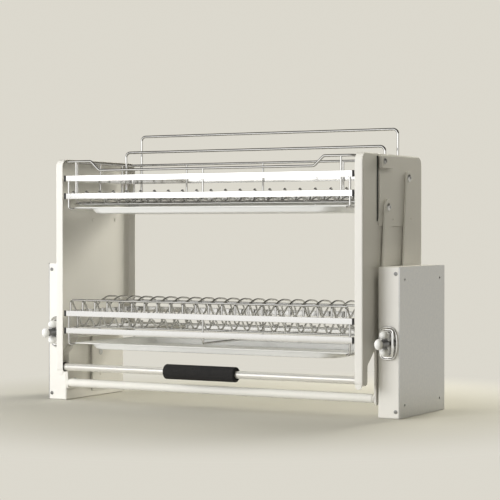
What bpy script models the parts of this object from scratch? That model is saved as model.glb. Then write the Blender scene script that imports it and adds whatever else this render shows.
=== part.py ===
"""Pull down dish rack for a wall cabinet 900 mm wide, built in metres.

The rack hangs on parallel arms from two side housings. X runs across the cabinet, Y points to the
back and Z up. The origin is at the bottom centre: Z = 0 is the cabinet floor that the housings
stand on, and Y = 0 is half way through the depth.
"""
import math

import bmesh
import bpy
from mathutils import Matrix, Vector

MM = 0.001
QUARTER = math.pi / 2

# Overall
OVERALL_WIDTH = 864 * MM
OVERALL_DEPTH = 298 * MM
FRONT_Y = -OVERALL_DEPTH / 2
REAR_Y = OVERALL_DEPTH / 2
GAP = 0.3 * MM
WELD = 1.0 * MM
WELD_DISTANCE = 0.01 * MM
CUT_OVERRUN = 2 * MM

# Resolution of round forms
WIRE_BEVEL_STEPS = 2
MAT_BEVEL_STEPS = 1
HANDLE_BEVEL_STEPS = 4
SMOOTH_ANGLE = math.radians(35)
BEVEL_ANGLE = math.radians(60)
HOLE_SIDES = 12
MOUNT_HOLE_SIDES = 8
TURN_STEPS = 12
CORNER_STEPS = 3

# Side housings
HOUSING_WIDTH = 47.6 * MM
HOUSING_DEPTH = 230 * MM
HOUSING_HEIGHT = 306 * MM
HOUSING_SETBACK = 58 * MM
HOUSING_SHEET = 1.5 * MM
HOUSING_EDGE = 2 * MM
MOUNT_SHEET = 1.7 * MM
MOUNT_HOLE_RADIUS = 2.6 * MM
MOUNT_HOLE_INSET = 26 * MM

# Layers beside each housing, from the wall inwards
BEARING_FLANGE = 2 * MM
ARM_THICKNESS = 4.4 * MM
ARM_PLAY = 0.6 * MM
HANGER_SHEET = 1.5 * MM
PANEL_SHEET = 1.2 * MM

WALL_X = OVERALL_WIDTH / 2
MOUNT_X = WALL_X - MOUNT_SHEET
SHELL_OUT_X = MOUNT_X - GAP
SHELL_IN_X = WALL_X - HOUSING_WIDTH
BEARING_X = SHELL_IN_X - GAP - BEARING_FLANGE
ARM_OUT_X = BEARING_X - GAP
ARM_IN_X = ARM_OUT_X - ARM_THICKNESS
HANGER_OUT_X = ARM_IN_X - ARM_PLAY
HANGER_IN_X = HANGER_OUT_X - HANGER_SHEET
PANEL_OUT_X = HANGER_IN_X - GAP
PANEL_IN_X = PANEL_OUT_X - PANEL_SHEET
HOUSING_MID_X = (SHELL_IN_X + SHELL_OUT_X) / 2
HOUSING_FRONT_Y = FRONT_Y + HOUSING_SETBACK
HOUSING_REAR_Y = HOUSING_FRONT_Y + HOUSING_DEPTH

# Arm linkage: pivots of the front arm, and the step from them to the rear arm's pivots
FRONT_PIVOT_SETBACK = 81 * MM
FRONT_PIVOT_HEIGHT = 39 * MM
ARM_LEAN = 34 * MM
ARM_RISE = 388 * MM
PIVOT_STEP_BACK = 103 * MM
PIVOT_STEP_UP = 62 * MM
FRONT_PIVOT = (FRONT_Y + FRONT_PIVOT_SETBACK, FRONT_PIVOT_HEIGHT)
FRONT_TOP = (FRONT_PIVOT[0] + ARM_LEAN, FRONT_PIVOT[1] + ARM_RISE)
REAR_PIVOT = (FRONT_PIVOT[0] + PIVOT_STEP_BACK, FRONT_PIVOT[1] + PIVOT_STEP_UP)
REAR_TOP = (FRONT_TOP[0] + PIVOT_STEP_BACK, FRONT_TOP[1] + PIVOT_STEP_UP)

# Front arms
FRONT_ARM_HALF = 17 * MM
FRONT_FOOT_AHEAD = 27 * MM
FRONT_FOOT_BEHIND = 25 * MM
FRONT_FOOT_DROP = 14 * MM
FRONT_FOOT_RISE = 99 * MM
FOOT_CORNER = 9 * MM
SHOULDER_RISE = 20 * MM

# Rear arms
REAR_ARM_HALF = 14 * MM
REAR_FOOT_AHEAD = 32 * MM
REAR_FOOT_BEHIND = 12 * MM
REAR_FOOT_DROP = 79 * MM
REAR_FOOT_RISE = 49 * MM
REAR_SCREW_DROP = 50 * MM
REAR_SCREW_RADIUS = 4 * MM
REAR_SCREW_HEAD = 1.2 * MM

# Cross tube between the arm feet
TUBE_AHEAD = 21 * MM
TUBE_RADIUS = 9.2 * MM
TUBE_SPIGOT_RADIUS = 6.5 * MM
TUBE_SPIGOT = 3.6 * MM

# Drive shaft, bearing, cam wheel and damper
SHAFT_RADIUS = 7 * MM
SHAFT_HEAD_RADIUS = 9.5 * MM
SHAFT_HEAD = 1.6 * MM
SHAFT_INTO_DAMPER = 6 * MM
BEARING_WALL = 2.4 * MM
BEARING_FLANGE_RADIUS = 13 * MM
BEARING_DEPTH = 6 * MM
CAM_RADIUS = 18 * MM
CAM_GROOVE = 2 * MM
CAM_FLANGE = 2 * MM
CAM_WIDTH = 12 * MM
CAM_OFFSET = 10 * MM
DAMPER_RADIUS = 19 * MM
DAMPER_LENGTH = 13 * MM
DAMPER_EDGE = 1.5 * MM

# Rear arm pivot pin
PIN_RADIUS = 5 * MM
PIN_HEAD_RADIUS = 7.5 * MM
PIN_HEAD = 0.9 * MM
PIN_NUT_RADIUS = 8.5 * MM
PIN_NUT = 5 * MM
WASHER_RADIUS = 11 * MM

# Upper pivot bolts
BOLT_RADIUS = 5 * MM
BOLT_HEAD_RADIUS = 8 * MM
BOLT_HEAD = 3 * MM
BOLT_HEAD_EDGE = 1 * MM

# Rest stops for the rear arms
STOP_RISE = 150 * MM
STOP_RADIUS = 6 * MM
STOP_LENGTH = 6.3 * MM

# Lifting spring and what holds it
SPRING_COIL_RADIUS = 11 * MM
SPRING_WIRE_RADIUS = 1.6 * MM
SPRING_TURNS = 7
SPRING_TURN_STEPS = 6
SPRING_LENGTH = 104 * MM
SPRING_END = 5 * MM
SPRING_ANGLE = math.radians(45)
SPRING_HOOK = 78 * MM
HANGER_PIN_RADIUS = 3 * MM
HANGER_EYE = 12 * MM
HANGER_POST_RADIUS = 5 * MM

# Spring force adjuster
ADJUST_HEIGHT = 152 * MM
ADJUST_CLEARANCE = 3 * MM
LEVER_THICKNESS = 6 * MM
LEVER_HALF_HEIGHT = 4.5 * MM
LEVER_HUB_RADIUS = 9 * MM
LEVER_END_INSIDE = 6 * MM
ADJUST_PIN_RADIUS = 3 * MM
KNOB_RADIUS = 11.5 * MM
KNOB_ARC_STEPS = 7
KNOB_STEM_RADIUS = 3.6 * MM
KNOB_COLLAR_RADIUS = 5.6 * MM
KNOB_COLLAR = 6 * MM
PLATE_OVAL_HALF_WIDTH = 21.5 * MM
PLATE_OVAL_HALF_HEIGHT = 35 * MM
PLATE_OVAL_THICKNESS = 4 * MM
OVAL_SIDES = 28
PLATE_OVAL_POWER = 2.4
SLOT_HALF_WIDTH = 6.6 * MM
SLOT_HALF_HEIGHT = 23 * MM

# Screws on the housing fronts
COVER_SCREW_RADIUS = 3.4 * MM
COVER_SCREW_HEAD = 1.2 * MM
COVER_SCREW_INSET_X = 6.5 * MM
COVER_SCREW_INSET_Z = 14 * MM

# Side panels of the rack
PANEL_SETBACK = 6 * MM
PANEL_TOP = 536 * MM
PANEL_BOTTOM = 140 * MM
PANEL_FLANGE = 18 * MM
PANEL_BEND = 1.5 * MM
PANEL_CORNER = 17 * MM
PANEL_FOOT_WIDTH = 25 * MM
PANEL_FOOT_BOTTOM = 60 * MM
PANEL_FOOT_SIDE_TOP = 107 * MM
PANEL_FOOT_CORNER = 8 * MM
PANEL_DIAGONAL = 38 * MM
PANEL_DIAGONAL_CORNER = 12 * MM
PANEL_FRONT_Y = FRONT_Y + PANEL_SETBACK
FLANGE_EDGE_X = PANEL_OUT_X - PANEL_FLANGE

# Hanger plates and brackets on the outside of the side panels
HANGER_AHEAD = 34 * MM
HANGER_BEHIND = 38 * MM
HANGER_ABOVE = 44 * MM
HANGER_BELOW = 39 * MM
HANGER_CORNER = 8 * MM
HANGER_LUG = 7 * MM
HANGER_LUG_HEIGHT = 26 * MM
HANGER_BLOCK_WIDTH = 8 * MM
HANGER_BLOCK_AHEAD = 3 * MM
HANGER_BLOCK_LENGTH = 56 * MM
HANGER_BLOCK_HEIGHT = 19 * MM
HANGER_BLOCK_EDGE = 1.5 * MM
RIVET_RADIUS = 2.4 * MM
RIVET_HEAD_RADIUS = 4.2 * MM
RIVET_HEAD = 1.3 * MM
RIVET_UPPER = (30 * MM, 96 * MM)
RIVET_LOWER_FRONT = (33 * MM, -24 * MM)
RIVET_LOWER_REAR = (123 * MM, -23 * MM)

# Baskets: the flat bands run round the baskets, the wires lie inside them
BAND_SETBACK = 8 * MM
BAND_REAR_SETBACK = 21 * MM
BAND_FROM_PANEL = 20.8 * MM
BAND_SHEET = 2 * MM
BAND_HEIGHT = 12.6 * MM
BAND_CORNER = 5 * MM
POST_RADIUS = 2.3 * MM
FLOOR_WIRE_RADIUS = 2 * MM
CROSS_ROD_RADIUS = 2.5 * MM
BOSS_RADIUS = 5.5 * MM
BOSS_FROM_END = 68 * MM
SIDE_POST_SPACING = 90 * MM
REAR_POST_FROM_END = 153 * MM
CORNER_TRIM_SHARE = 0.3
BAND_HALF_WIDTH = PANEL_IN_X - BAND_FROM_PANEL
REAR_POST_X = BAND_HALF_WIDTH - REAR_POST_FROM_END
BAND_FRONT_Y = FRONT_Y + BAND_SETBACK
BAND_REAR_Y = REAR_Y - BAND_REAR_SETBACK
BAND_DEPTH = BAND_REAR_Y - BAND_FRONT_Y
BAND_IN_X = BAND_HALF_WIDTH - BAND_SHEET
POST_FRONT_Y = BAND_FRONT_Y + BAND_SHEET + POST_RADIUS - WELD
POST_REAR_Y = BAND_REAR_Y - BAND_SHEET - POST_RADIUS + WELD
POST_SIDE_X = BAND_IN_X - POST_RADIUS + WELD
MAT_FRONT_Y = BAND_FRONT_Y + BAND_SHEET + GAP + FLOOR_WIRE_RADIUS
MAT_REAR_Y = BAND_REAR_Y - BAND_SHEET - GAP - FLOOR_WIRE_RADIUS

# Upper basket
UPPER_BAND_TOP = 500 * MM
UPPER_BAND_LOWER_TOP = 461 * MM
RAIL_RADIUS = 2.75 * MM
RAIL_HIGH = 530.5 * MM
RAIL_LOW = 510.5 * MM
RAIL_DIP_FROM_END = 90 * MM
RAIL_DIP_HALF = BAND_HALF_WIDTH - RAIL_DIP_FROM_END
RAIL_DIP_SLOPE = 22 * MM
RAIL_CORNER = 7 * MM
UPPER_POST_FROM_END = 29 * MM
UPPER_POST_X = BAND_HALF_WIDTH - UPPER_POST_FROM_END
FLOOR_PAIRS = 10
FLOOR_MARGIN = 1 * MM
FLOOR_PITCH = (BAND_HALF_WIDTH - FLOOR_MARGIN) / FLOOR_PAIRS
FLOOR_CREST = 463.5 * MM
FLOOR_TROUGH = 441 * MM
FLOOR_HUMP = 453 * MM
FLOOR_CREST_SLOPE = 13 * MM
TROUGH_FRONT = 24 * MM
TROUGH_FRONT_END = 0.44 * BAND_DEPTH
HUMP_BACK = 0.587 * BAND_DEPTH
TROUGH_REAR_START = 0.69 * BAND_DEPTH
UPPER_ROD_SHARES = (0.12, 0.42, 0.79)

# Bowl rails
BOWL_RAIL_RADIUS = 3 * MM
BOWL_RAIL_FROM_END = 26 * MM
BOWL_RAIL_HALF_SPAN = BAND_HALF_WIDTH - BOWL_RAIL_FROM_END
BOWL_RAIL_CORNER = 8 * MM
REAR_BOWL_RAIL_TOP = 597 * MM
FRONT_BOWL_RAIL_TOP = 557.5 * MM

# Lower basket and plate rack
LOWER_BAND_TOP = 203 * MM
LOWER_BAND_LOWER_TOP = 165 * MM
PLATE_WIRES = 22
PLATE_WIRE_FROM_END = 15.95 * MM
PLATE_WIRE_PITCH = 2 * (BAND_HALF_WIDTH - PLATE_WIRE_FROM_END) / (PLATE_WIRES - 1)
PLATE_VEE = 169.5 * MM
PLATE_FRONT_TOP = 229 * MM
PLATE_REAR_TOP = 231 * MM
PLATE_START = 158 * MM
PLATE_PEAK_DROP = 7.5 * MM
PLATE_VEE_BACK = 0.204 * BAND_DEPTH
PLATE_VEE_HALF = 6 * MM
PLATE_ARCH_BACKS = [share * BAND_DEPTH for share in (0.45, 0.561, 0.717, 0.851)]
PLATE_ARCH_SHARES = (0.86, 1.0, 0.9, 0.0)
PLATE_FOOT_BACK = 0.914 * BAND_DEPTH

# Tray runners: wires that hang from the basket corners and carry the drip trays
RUNNER_RADIUS = 2.4 * MM
RUNNER_FROM_BAND = 7 * MM
RUNNER_STEP = 9 * MM
RUNNER_CORNER_X = BAND_IN_X - RUNNER_FROM_BAND
RUNNER_RAIL_X = RUNNER_CORNER_X - RUNNER_STEP
RUNNER_CORNER = 5 * MM
STAY_RADIUS = 1.8 * MM
STAY_SPACING = 6.4 * FLOOR_PITCH
STAY_CLEARANCE = 1 * MM
RUNNER_FRONT_Y = BAND_FRONT_Y + BAND_SHEET + RUNNER_RADIUS - WELD
RUNNER_REAR_Y = BAND_REAR_Y - BAND_SHEET - RUNNER_RADIUS + WELD

# Drip trays
UPPER_TRAY_TOP = 430.5 * MM
LOWER_TRAY_TOP = 132.5 * MM
TRAY_FROM_RUNNER = 6.5 * MM
TRAY_HALF_WIDTH = RUNNER_CORNER_X - TRAY_FROM_RUNNER
TRAY_SETBACK = 22 * MM
TRAY_SHORTER_BY = 19 * MM
TRAY_LENGTH = BAND_DEPTH - TRAY_SHORTER_BY
TRAY_DEPTH = 14 * MM
TRAY_SHEET = 1 * MM
TRAY_RIM_SIDE = 32 * MM
TRAY_RIM_END = 3 * MM
TRAY_SLOPE = 9 * MM
TRAY_END_SLOPE = TRAY_SLOPE / 3
TRAY_BASIN_CORNER = 34 * MM
TRAY_RIM_CORNER = 5 * MM

# Handle
HANDLE_RADIUS = 8 * MM
HANDLE_SETBACK = 17.8 * MM
HANDLE_HEIGHT = 78 * MM
GRIP_RADIUS = 16 * MM
GRIP_LENGTH = 181 * MM
GRIP_SHIFT = -8.5 * MM
GRIP_EDGE = 3 * MM
SOCKET_RADIUS = 9.7 * MM
SOCKET_PROUD = 2 * MM
SOCKET_FLOOR = 2 * MM

# Colours, each a base colour with its metallic and roughness values
FINISHES = {
    "powder_coat": ((0.83, 0.81, 0.75), 0.0, 0.45),
    "chrome": ((0.80, 0.81, 0.82), 1.0, 0.12),
    "satin_steel": ((0.72, 0.72, 0.72), 1.0, 0.35),
    "satin_tube": ((0.84, 0.82, 0.78), 0.4, 0.35),
    "tray_sheet": ((0.78, 0.79, 0.80), 0.3, 0.35),
    "foam": ((0.03, 0.028, 0.028), 0.0, 0.85),
    "black_rubber": ((0.04, 0.04, 0.04), 0.0, 0.8),
    "nylon": ((0.85, 0.85, 0.82), 0.0, 0.5),
    "zinc": ((0.6, 0.6, 0.6), 1.0, 0.4),
    "spring_steel": ((0.3, 0.3, 0.31), 1.0, 0.35),
}


def clear_scene():
    for item in list(bpy.data.objects):
        bpy.data.objects.remove(item, do_unlink=True)
    for group in list(bpy.data.collections):
        bpy.data.collections.remove(group)


def make_collection(name):
    group = bpy.data.collections.new(name)
    bpy.context.scene.collection.children.link(group)
    return group


clear_scene()
PARTS = make_collection("pull_down_dish_rack")
CUTTERS = make_collection("cutters")


def make_material(name, finish):
    """One Principled material with the colour, metallic and roughness of a finish."""
    colour, metallic, roughness = FINISHES[finish]
    material = bpy.data.materials.new(name)
    material.use_nodes = True
    shader = material.node_tree.nodes["Principled BSDF"]
    shader.inputs["Base Color"].default_value = (*colour, 1.0)
    shader.inputs["Metallic"].default_value = metallic
    shader.inputs["Roughness"].default_value = roughness
    material.diffuse_color = (*colour, 1.0)
    return material


def add_object(name, data, finish, group=PARTS):
    item = bpy.data.objects.new(name, data)
    group.objects.link(item)
    data.materials.append(make_material(name, finish))
    return item


def smooth(mesh):
    mesh.shade_smooth()
    mesh.set_sharp_from_angle(angle=SMOOTH_ANGLE)


def rounded(corners, steps=CORNER_STEPS):
    """Points of a closed outline whose corners are (u, v, radius), each rounded by an arc."""
    points = []
    count = len(corners)
    for index, (u, v, radius) in enumerate(corners):
        here = Vector((u, v))
        if radius == 0:
            points.append((u, v))
            continue
        before = Vector(corners[index - 1][:2]) - here
        after = Vector(corners[(index + 1) % count][:2]) - here
        half_angle = before.angle(after) / 2
        reach = radius / math.tan(half_angle)
        start = here + before.normalized() * reach
        bisector = (before.normalized() + after.normalized()).normalized()
        centre = here + bisector * (radius / math.sin(half_angle))
        spoke = start - centre
        turn = math.pi - 2 * half_angle
        if before.cross(after) > 0:
            turn = -turn
        for step in range(steps + 1):
            angle = turn * step / steps
            cosine = math.cos(angle)
            sine = math.sin(angle)
            points.append((centre.x + spoke.x * cosine - spoke.y * sine,
                           centre.y + spoke.x * sine + spoke.y * cosine))
    return points


def circle(u, v, radius, sides=HOLE_SIDES):
    turns = [2 * math.pi * index / sides for index in range(sides)]
    return [(u + radius * math.cos(turn), v + radius * math.sin(turn)) for turn in turns]


def flat_plate(name, outlines, thickness, finish, location, facing):
    """A sheet cut to the first outline, with the other outlines as holes.

    facing "X" puts the outline in the YZ plane, "Y" in the XZ plane and "Z" in the XY plane.
    """
    curve = bpy.data.curves.new(name, "CURVE")
    curve.dimensions = "2D"
    curve.fill_mode = "BOTH"
    curve.extrude = thickness / 2
    for outline in outlines:
        spline = curve.splines.new("POLY")
        spline.points.add(len(outline) - 1)
        for point, (u, v) in zip(spline.points, outline):
            point.co = (u, v, 0, 1)
        spline.use_cyclic_u = True
    item = add_object(name, curve, finish)
    item.location = location
    turns = {"X": (QUARTER, 0, QUARTER), "Y": (QUARTER, 0, 0), "Z": (0, 0, 0)}
    item.rotation_euler = turns[facing]
    return item


def wires(name, paths, radius, finish, closed=False, level=WIRE_BEVEL_STEPS):
    """Round wires along the given paths of points, with filled ends."""
    curve = bpy.data.curves.new(name, "CURVE")
    curve.dimensions = "3D"
    curve.bevel_depth = radius
    curve.bevel_resolution = level
    curve.use_fill_caps = not closed
    for path in paths:
        spline = curve.splines.new("POLY")
        spline.points.add(len(path) - 1)
        for point, place in zip(spline.points, path):
            point.co = (*place, 1)
        spline.use_cyclic_u = closed
    return add_object(name, curve, finish)


def turned_mesh(name, profile, ring):
    """A mesh of the profile's edges. A ring closes on itself, a solid ends on the axis."""
    count = len(profile)
    edges = [(index, index + 1) for index in range(count - 1)]
    if ring:
        edges.append((count - 1, 0))
    mesh = bpy.data.meshes.new(name)
    mesh.from_pydata([(radius, 0, height) for radius, height in profile], edges, [])
    return mesh


def turned(name, profile, finish, location, direction, ring=False, steps=TURN_STEPS, group=PARTS):
    """A turned piece about its own Z, which is then laid along the direction.

    The profile is (radius, height), from the top down along the outer side.
    """
    item = add_object(name, turned_mesh(name, profile, ring), finish, group)
    screw = item.modifiers.new("turn", "SCREW")
    screw.steps = steps
    screw.render_steps = steps
    screw.use_merge_vertices = True
    screw.merge_threshold = WELD_DISTANCE
    screw.use_smooth_shade = True
    item.location = location
    item.rotation_mode = "QUATERNION"
    item.rotation_quaternion = Vector(direction).to_track_quat("Z", "Y")
    return item


def rod_profile(radius, low, high):
    return [(0, high), (radius, high), (radius, low), (0, low)]


def ring_profile(outer, inner, low, high):
    return [(outer, high), (outer, low), (inner, low), (inner, high)]


def block(name, low, high, finish, group=PARTS, open_face=None):
    """A box between two corners, standing at its centre. open_face leaves out one side."""
    low = Vector(low)
    high = Vector(high)
    size = high - low
    mesh = bpy.data.meshes.new(name)
    shape = bmesh.new()
    bmesh.ops.create_cube(shape, size=1)
    bmesh.ops.scale(shape, vec=[abs(value) for value in size], verts=shape.verts)
    if open_face:
        lost = [face for face in shape.faces if face.normal.dot(Vector(open_face)) > 0.9]
        bmesh.ops.delete(shape, geom=lost, context="FACES_ONLY")
    shape.to_mesh(mesh)
    shape.free()
    item = add_object(name, mesh, finish, group)
    item.location = (low + high) / 2
    return item


def bevel(item, width, segments=1):
    modifier = item.modifiers.new("edges", "BEVEL")
    modifier.width = width
    modifier.segments = segments
    modifier.limit_method = "ANGLE"
    modifier.angle_limit = BEVEL_ANGLE
    return modifier


def solidify(item, thickness):
    modifier = item.modifiers.new("sheet", "SOLIDIFY")
    modifier.thickness = thickness
    modifier.offset = -1
    modifier.use_even_offset = True
    return modifier


def cut(item, cutters):
    """Subtracts each cutter from the item with its own exact boolean."""
    for cutter in cutters:
        modifier = item.modifiers.new("cut_" + cutter.name, "BOOLEAN")
        modifier.operation = "DIFFERENCE"
        modifier.solver = "EXACT"
        modifier.object = cutter
        cutter.hide_render = True
        cutter.display_type = "WIRE"


def cutter_rod(name, start, length, radius, direction=(1, 0, 0)):
    """A round cutter that runs from the start along the direction."""
    profile = rod_profile(radius, 0, length)
    return turned(name, profile, "zinc", start, direction, steps=HOLE_SIDES, group=CUTTERS)


def as_mesh(item):
    """Turns a curve object into a mesh object, so that it can be joined to others."""
    bpy.context.view_layer.update()
    seen = item.evaluated_get(bpy.context.evaluated_depsgraph_get())
    mesh = bpy.data.meshes.new_from_object(seen)
    shape = bmesh.new()
    shape.from_mesh(mesh)
    bmesh.ops.remove_doubles(shape, verts=shape.verts, dist=WELD_DISTANCE)
    shape.to_mesh(mesh)
    shape.free()
    name = item.name
    place = item.matrix_world.copy()
    bpy.data.objects.remove(item)
    solid = bpy.data.objects.new(name, mesh)
    PARTS.objects.link(solid)
    solid.matrix_world = place
    return solid


def join(base, others):
    """Joins other solids to the base with exact unions. The others stay as hidden helpers."""
    for other in others:
        PARTS.objects.unlink(other)
        CUTTERS.objects.link(other)
        modifier = base.modifiers.new(other.name, "BOOLEAN")
        modifier.operation = "UNION"
        modifier.use_self = True
        modifier.solver = "EXACT"
        modifier.object = other
        other.hide_render = True
        other.display_type = "WIRE"
    return base


def hub(name, location):
    """An empty on a joint's axis, which carries the pieces of one moving body."""
    empty = bpy.data.objects.new(name, None)
    PARTS.objects.link(empty)
    empty.location = location
    empty.empty_display_size = BEARING_FLANGE_RADIUS
    return empty


def carry(empty, items):
    """Hangs the items on the empty, and each item's Boolean helpers on the item."""
    bpy.context.view_layer.update()
    for item in items:
        for modifier in item.modifiers:
            if modifier.type == "BOOLEAN":
                helper = modifier.object
                helper.parent = item
                helper.matrix_parent_inverse = item.matrix_world.inverted()
        item.parent = empty
        item.matrix_parent_inverse = empty.matrix_world.inverted()


def side_name(side):
    return "right" if side > 0 else "left"


def at(x, place):
    """A point in space from an X value and a (y, z) pair."""
    return (x, place[0], place[1])


def shift(place, back, up):
    return (place[0] + back, place[1] + up)


# Housings


def housing_cutters(side):
    """Round holes for shaft and pin in the inner wall, and the adjuster's slot in the front wall."""
    tag = side_name(side)
    reach = HOUSING_SHEET + 2 * CUT_OVERRUN
    start_x = side * (SHELL_IN_X - CUT_OVERRUN)
    bore = SHAFT_RADIUS + GAP + BEARING_WALL + GAP
    shaft = cutter_rod("cut_shaft_" + tag, at(start_x, FRONT_PIVOT), reach, bore, (side, 0, 0))
    pin = cutter_rod("cut_pin_" + tag, at(start_x, REAR_PIVOT), reach, PIN_RADIUS + GAP, (side, 0, 0))
    slot_low = (side * HOUSING_MID_X - SLOT_HALF_WIDTH, HOUSING_FRONT_Y - CUT_OVERRUN,
                ADJUST_HEIGHT - SLOT_HALF_HEIGHT)
    slot_high = (side * HOUSING_MID_X + SLOT_HALF_WIDTH, HOUSING_FRONT_Y + HOUSING_SHEET + CUT_OVERRUN,
                 ADJUST_HEIGHT + SLOT_HALF_HEIGHT)
    slot = block("cut_slot_" + tag, slot_low, slot_high, "zinc", CUTTERS)
    return [shaft, pin, slot]


def housing_shell(side):
    """A sheet box that is open towards the cabinet wall."""
    low = (min(side * SHELL_IN_X, side * SHELL_OUT_X), HOUSING_FRONT_Y, 0)
    high = (max(side * SHELL_IN_X, side * SHELL_OUT_X), HOUSING_REAR_Y, HOUSING_HEIGHT)
    shell = block("housing_shell_" + side_name(side), low, high, "powder_coat", open_face=(side, 0, 0))
    bevel(shell, HOUSING_EDGE)
    solidify(shell, HOUSING_SHEET)
    cut(shell, housing_cutters(side))
    return shell


def mounting_plate(side):
    """The plate against the cabinet wall, with a screw hole near each corner."""
    outline = rounded([(HOUSING_FRONT_Y, 0, HOUSING_EDGE), (HOUSING_REAR_Y, 0, HOUSING_EDGE),
                       (HOUSING_REAR_Y, HOUSING_HEIGHT, HOUSING_EDGE),
                       (HOUSING_FRONT_Y, HOUSING_HEIGHT, HOUSING_EDGE)])
    holes = []
    for y in (HOUSING_FRONT_Y + MOUNT_HOLE_INSET, HOUSING_REAR_Y - MOUNT_HOLE_INSET):
        for z in (MOUNT_HOLE_INSET, HOUSING_HEIGHT - MOUNT_HOLE_INSET):
            holes.append(circle(y, z, MOUNT_HOLE_RADIUS, MOUNT_HOLE_SIDES))
    x = side * (WALL_X - MOUNT_SHEET / 2)
    return flat_plate("mounting_plate_" + side_name(side), [outline] + holes, MOUNT_SHEET, "zinc",
                      (x, 0, 0), "X")


def oval(half_width, half_height, power, points):
    """An oval whose sides are flatter than an ellipse's where the power is above 2."""
    outline = []
    for index in range(points):
        turn = 2 * math.pi * index / points
        cosine = math.cos(turn)
        sine = math.sin(turn)
        outline.append((half_width * math.copysign(abs(cosine) ** (2 / power), cosine),
                        half_height * math.copysign(abs(sine) ** (2 / power), sine)))
    return outline


def slot_outline():
    """The adjuster's slot with rounded ends, in the plate's own plane."""
    radius = SLOT_HALF_WIDTH - GAP
    return rounded([(-SLOT_HALF_WIDTH, -SLOT_HALF_HEIGHT, radius), (SLOT_HALF_WIDTH, -SLOT_HALF_HEIGHT, radius),
                    (SLOT_HALF_WIDTH, SLOT_HALF_HEIGHT, radius), (-SLOT_HALF_WIDTH, SLOT_HALF_HEIGHT, radius)])


def escutcheon(side):
    """The chrome oval on the housing's front, with the adjuster's slot."""
    outline = oval(PLATE_OVAL_HALF_WIDTH, PLATE_OVAL_HALF_HEIGHT, PLATE_OVAL_POWER, OVAL_SIDES)
    y = HOUSING_FRONT_Y - GAP - PLATE_OVAL_THICKNESS / 2
    return flat_plate("knob_escutcheon_" + side_name(side), [outline, slot_outline()],
                      PLATE_OVAL_THICKNESS, "chrome", (side * HOUSING_MID_X, y, ADJUST_HEIGHT), "Y")


def shaft_bearing(side):
    """A flanged bush in the housing's wall, which carries the drive shaft."""
    inner = SHAFT_RADIUS + GAP
    outer = inner + BEARING_WALL
    profile = [(outer, BEARING_DEPTH), (outer, BEARING_FLANGE), (BEARING_FLANGE_RADIUS, BEARING_FLANGE),
               (BEARING_FLANGE_RADIUS, 0), (inner, 0), (inner, BEARING_DEPTH)]
    return turned("shaft_bearing_" + side_name(side), profile, "nylon",
                  at(side * BEARING_X, FRONT_PIVOT), (side, 0, 0), ring=True)


def rear_pivot_pin(side):
    """The fixed pin of a rear arm, riveted inside the housing."""
    head_x = ARM_IN_X - GAP - PIN_HEAD
    nut_x = SHELL_IN_X + HOUSING_SHEET + GAP
    nut = nut_x - head_x
    length = nut + PIN_NUT
    profile = [(0, length), (PIN_NUT_RADIUS, length), (PIN_NUT_RADIUS, nut), (PIN_RADIUS, nut),
               (PIN_RADIUS, PIN_HEAD), (PIN_HEAD_RADIUS, PIN_HEAD), (PIN_HEAD_RADIUS, 0), (0, 0)]
    return turned("rear_pivot_pin_" + side_name(side), profile, "zinc",
                  at(side * head_x, REAR_PIVOT), (side, 0, 0))


def rear_pivot_washer(side):
    profile = ring_profile(WASHER_RADIUS, PIN_RADIUS + GAP, 0, BEARING_FLANGE)
    return turned("rear_pivot_washer_" + side_name(side), profile, "nylon",
                  at(side * BEARING_X, REAR_PIVOT), (side, 0, 0), ring=True)


def cover_screw(side, level):
    """A screw head on the housing's front, near its upper or lower outer corner."""
    profile = [(0, COVER_SCREW_HEAD), (COVER_SCREW_RADIUS, COVER_SCREW_HEAD / 2), (COVER_SCREW_RADIUS, 0), (0, 0)]
    heights = {"upper": HOUSING_HEIGHT - COVER_SCREW_INSET_Z, "lower": COVER_SCREW_INSET_Z}
    place = (side * (SHELL_OUT_X - COVER_SCREW_INSET_X), HOUSING_FRONT_Y - GAP, heights[level])
    return turned("cover_screw_" + level + "_" + side_name(side), profile, "zinc", place, (0, -1, 0))


def rest_stop(side):
    """A rubber peg on the housing that the rear arm leans back on when the rack is up."""
    slant = math.hypot(ARM_LEAN, ARM_RISE) / ARM_RISE
    middle = REAR_PIVOT[0] + ARM_LEAN * STOP_RISE / ARM_RISE
    y = middle + (REAR_ARM_HALF + STOP_RADIUS) * slant + GAP
    x = side * (SHELL_IN_X - GAP - STOP_LENGTH)
    return turned("arm_rest_stop_" + side_name(side), rod_profile(STOP_RADIUS, 0, STOP_LENGTH), "black_rubber",
                  (x, y, REAR_PIVOT[1] + STOP_RISE), (side, 0, 0))


def spring_line():
    """Where the spring's hook leaves the cam wheel, and the direction it runs in, in the YZ plane."""
    turn = SPRING_ANGLE + QUARTER
    radius = CAM_RADIUS + GAP + SPRING_WIRE_RADIUS
    start = (FRONT_PIVOT[0] + radius * math.cos(turn), FRONT_PIVOT[1] + radius * math.sin(turn))
    return start, (math.cos(SPRING_ANGLE), math.sin(SPRING_ANGLE))


def along(start, heading, distance, rise=0):
    """A point at a distance along a heading in the YZ plane, and a rise square to it."""
    return (start[0] + heading[0] * distance - heading[1] * rise,
            start[1] + heading[1] * distance + heading[0] * rise)


def cam_middle_x():
    return SHELL_IN_X + HOUSING_SHEET + CAM_OFFSET + CAM_WIDTH / 2


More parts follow.
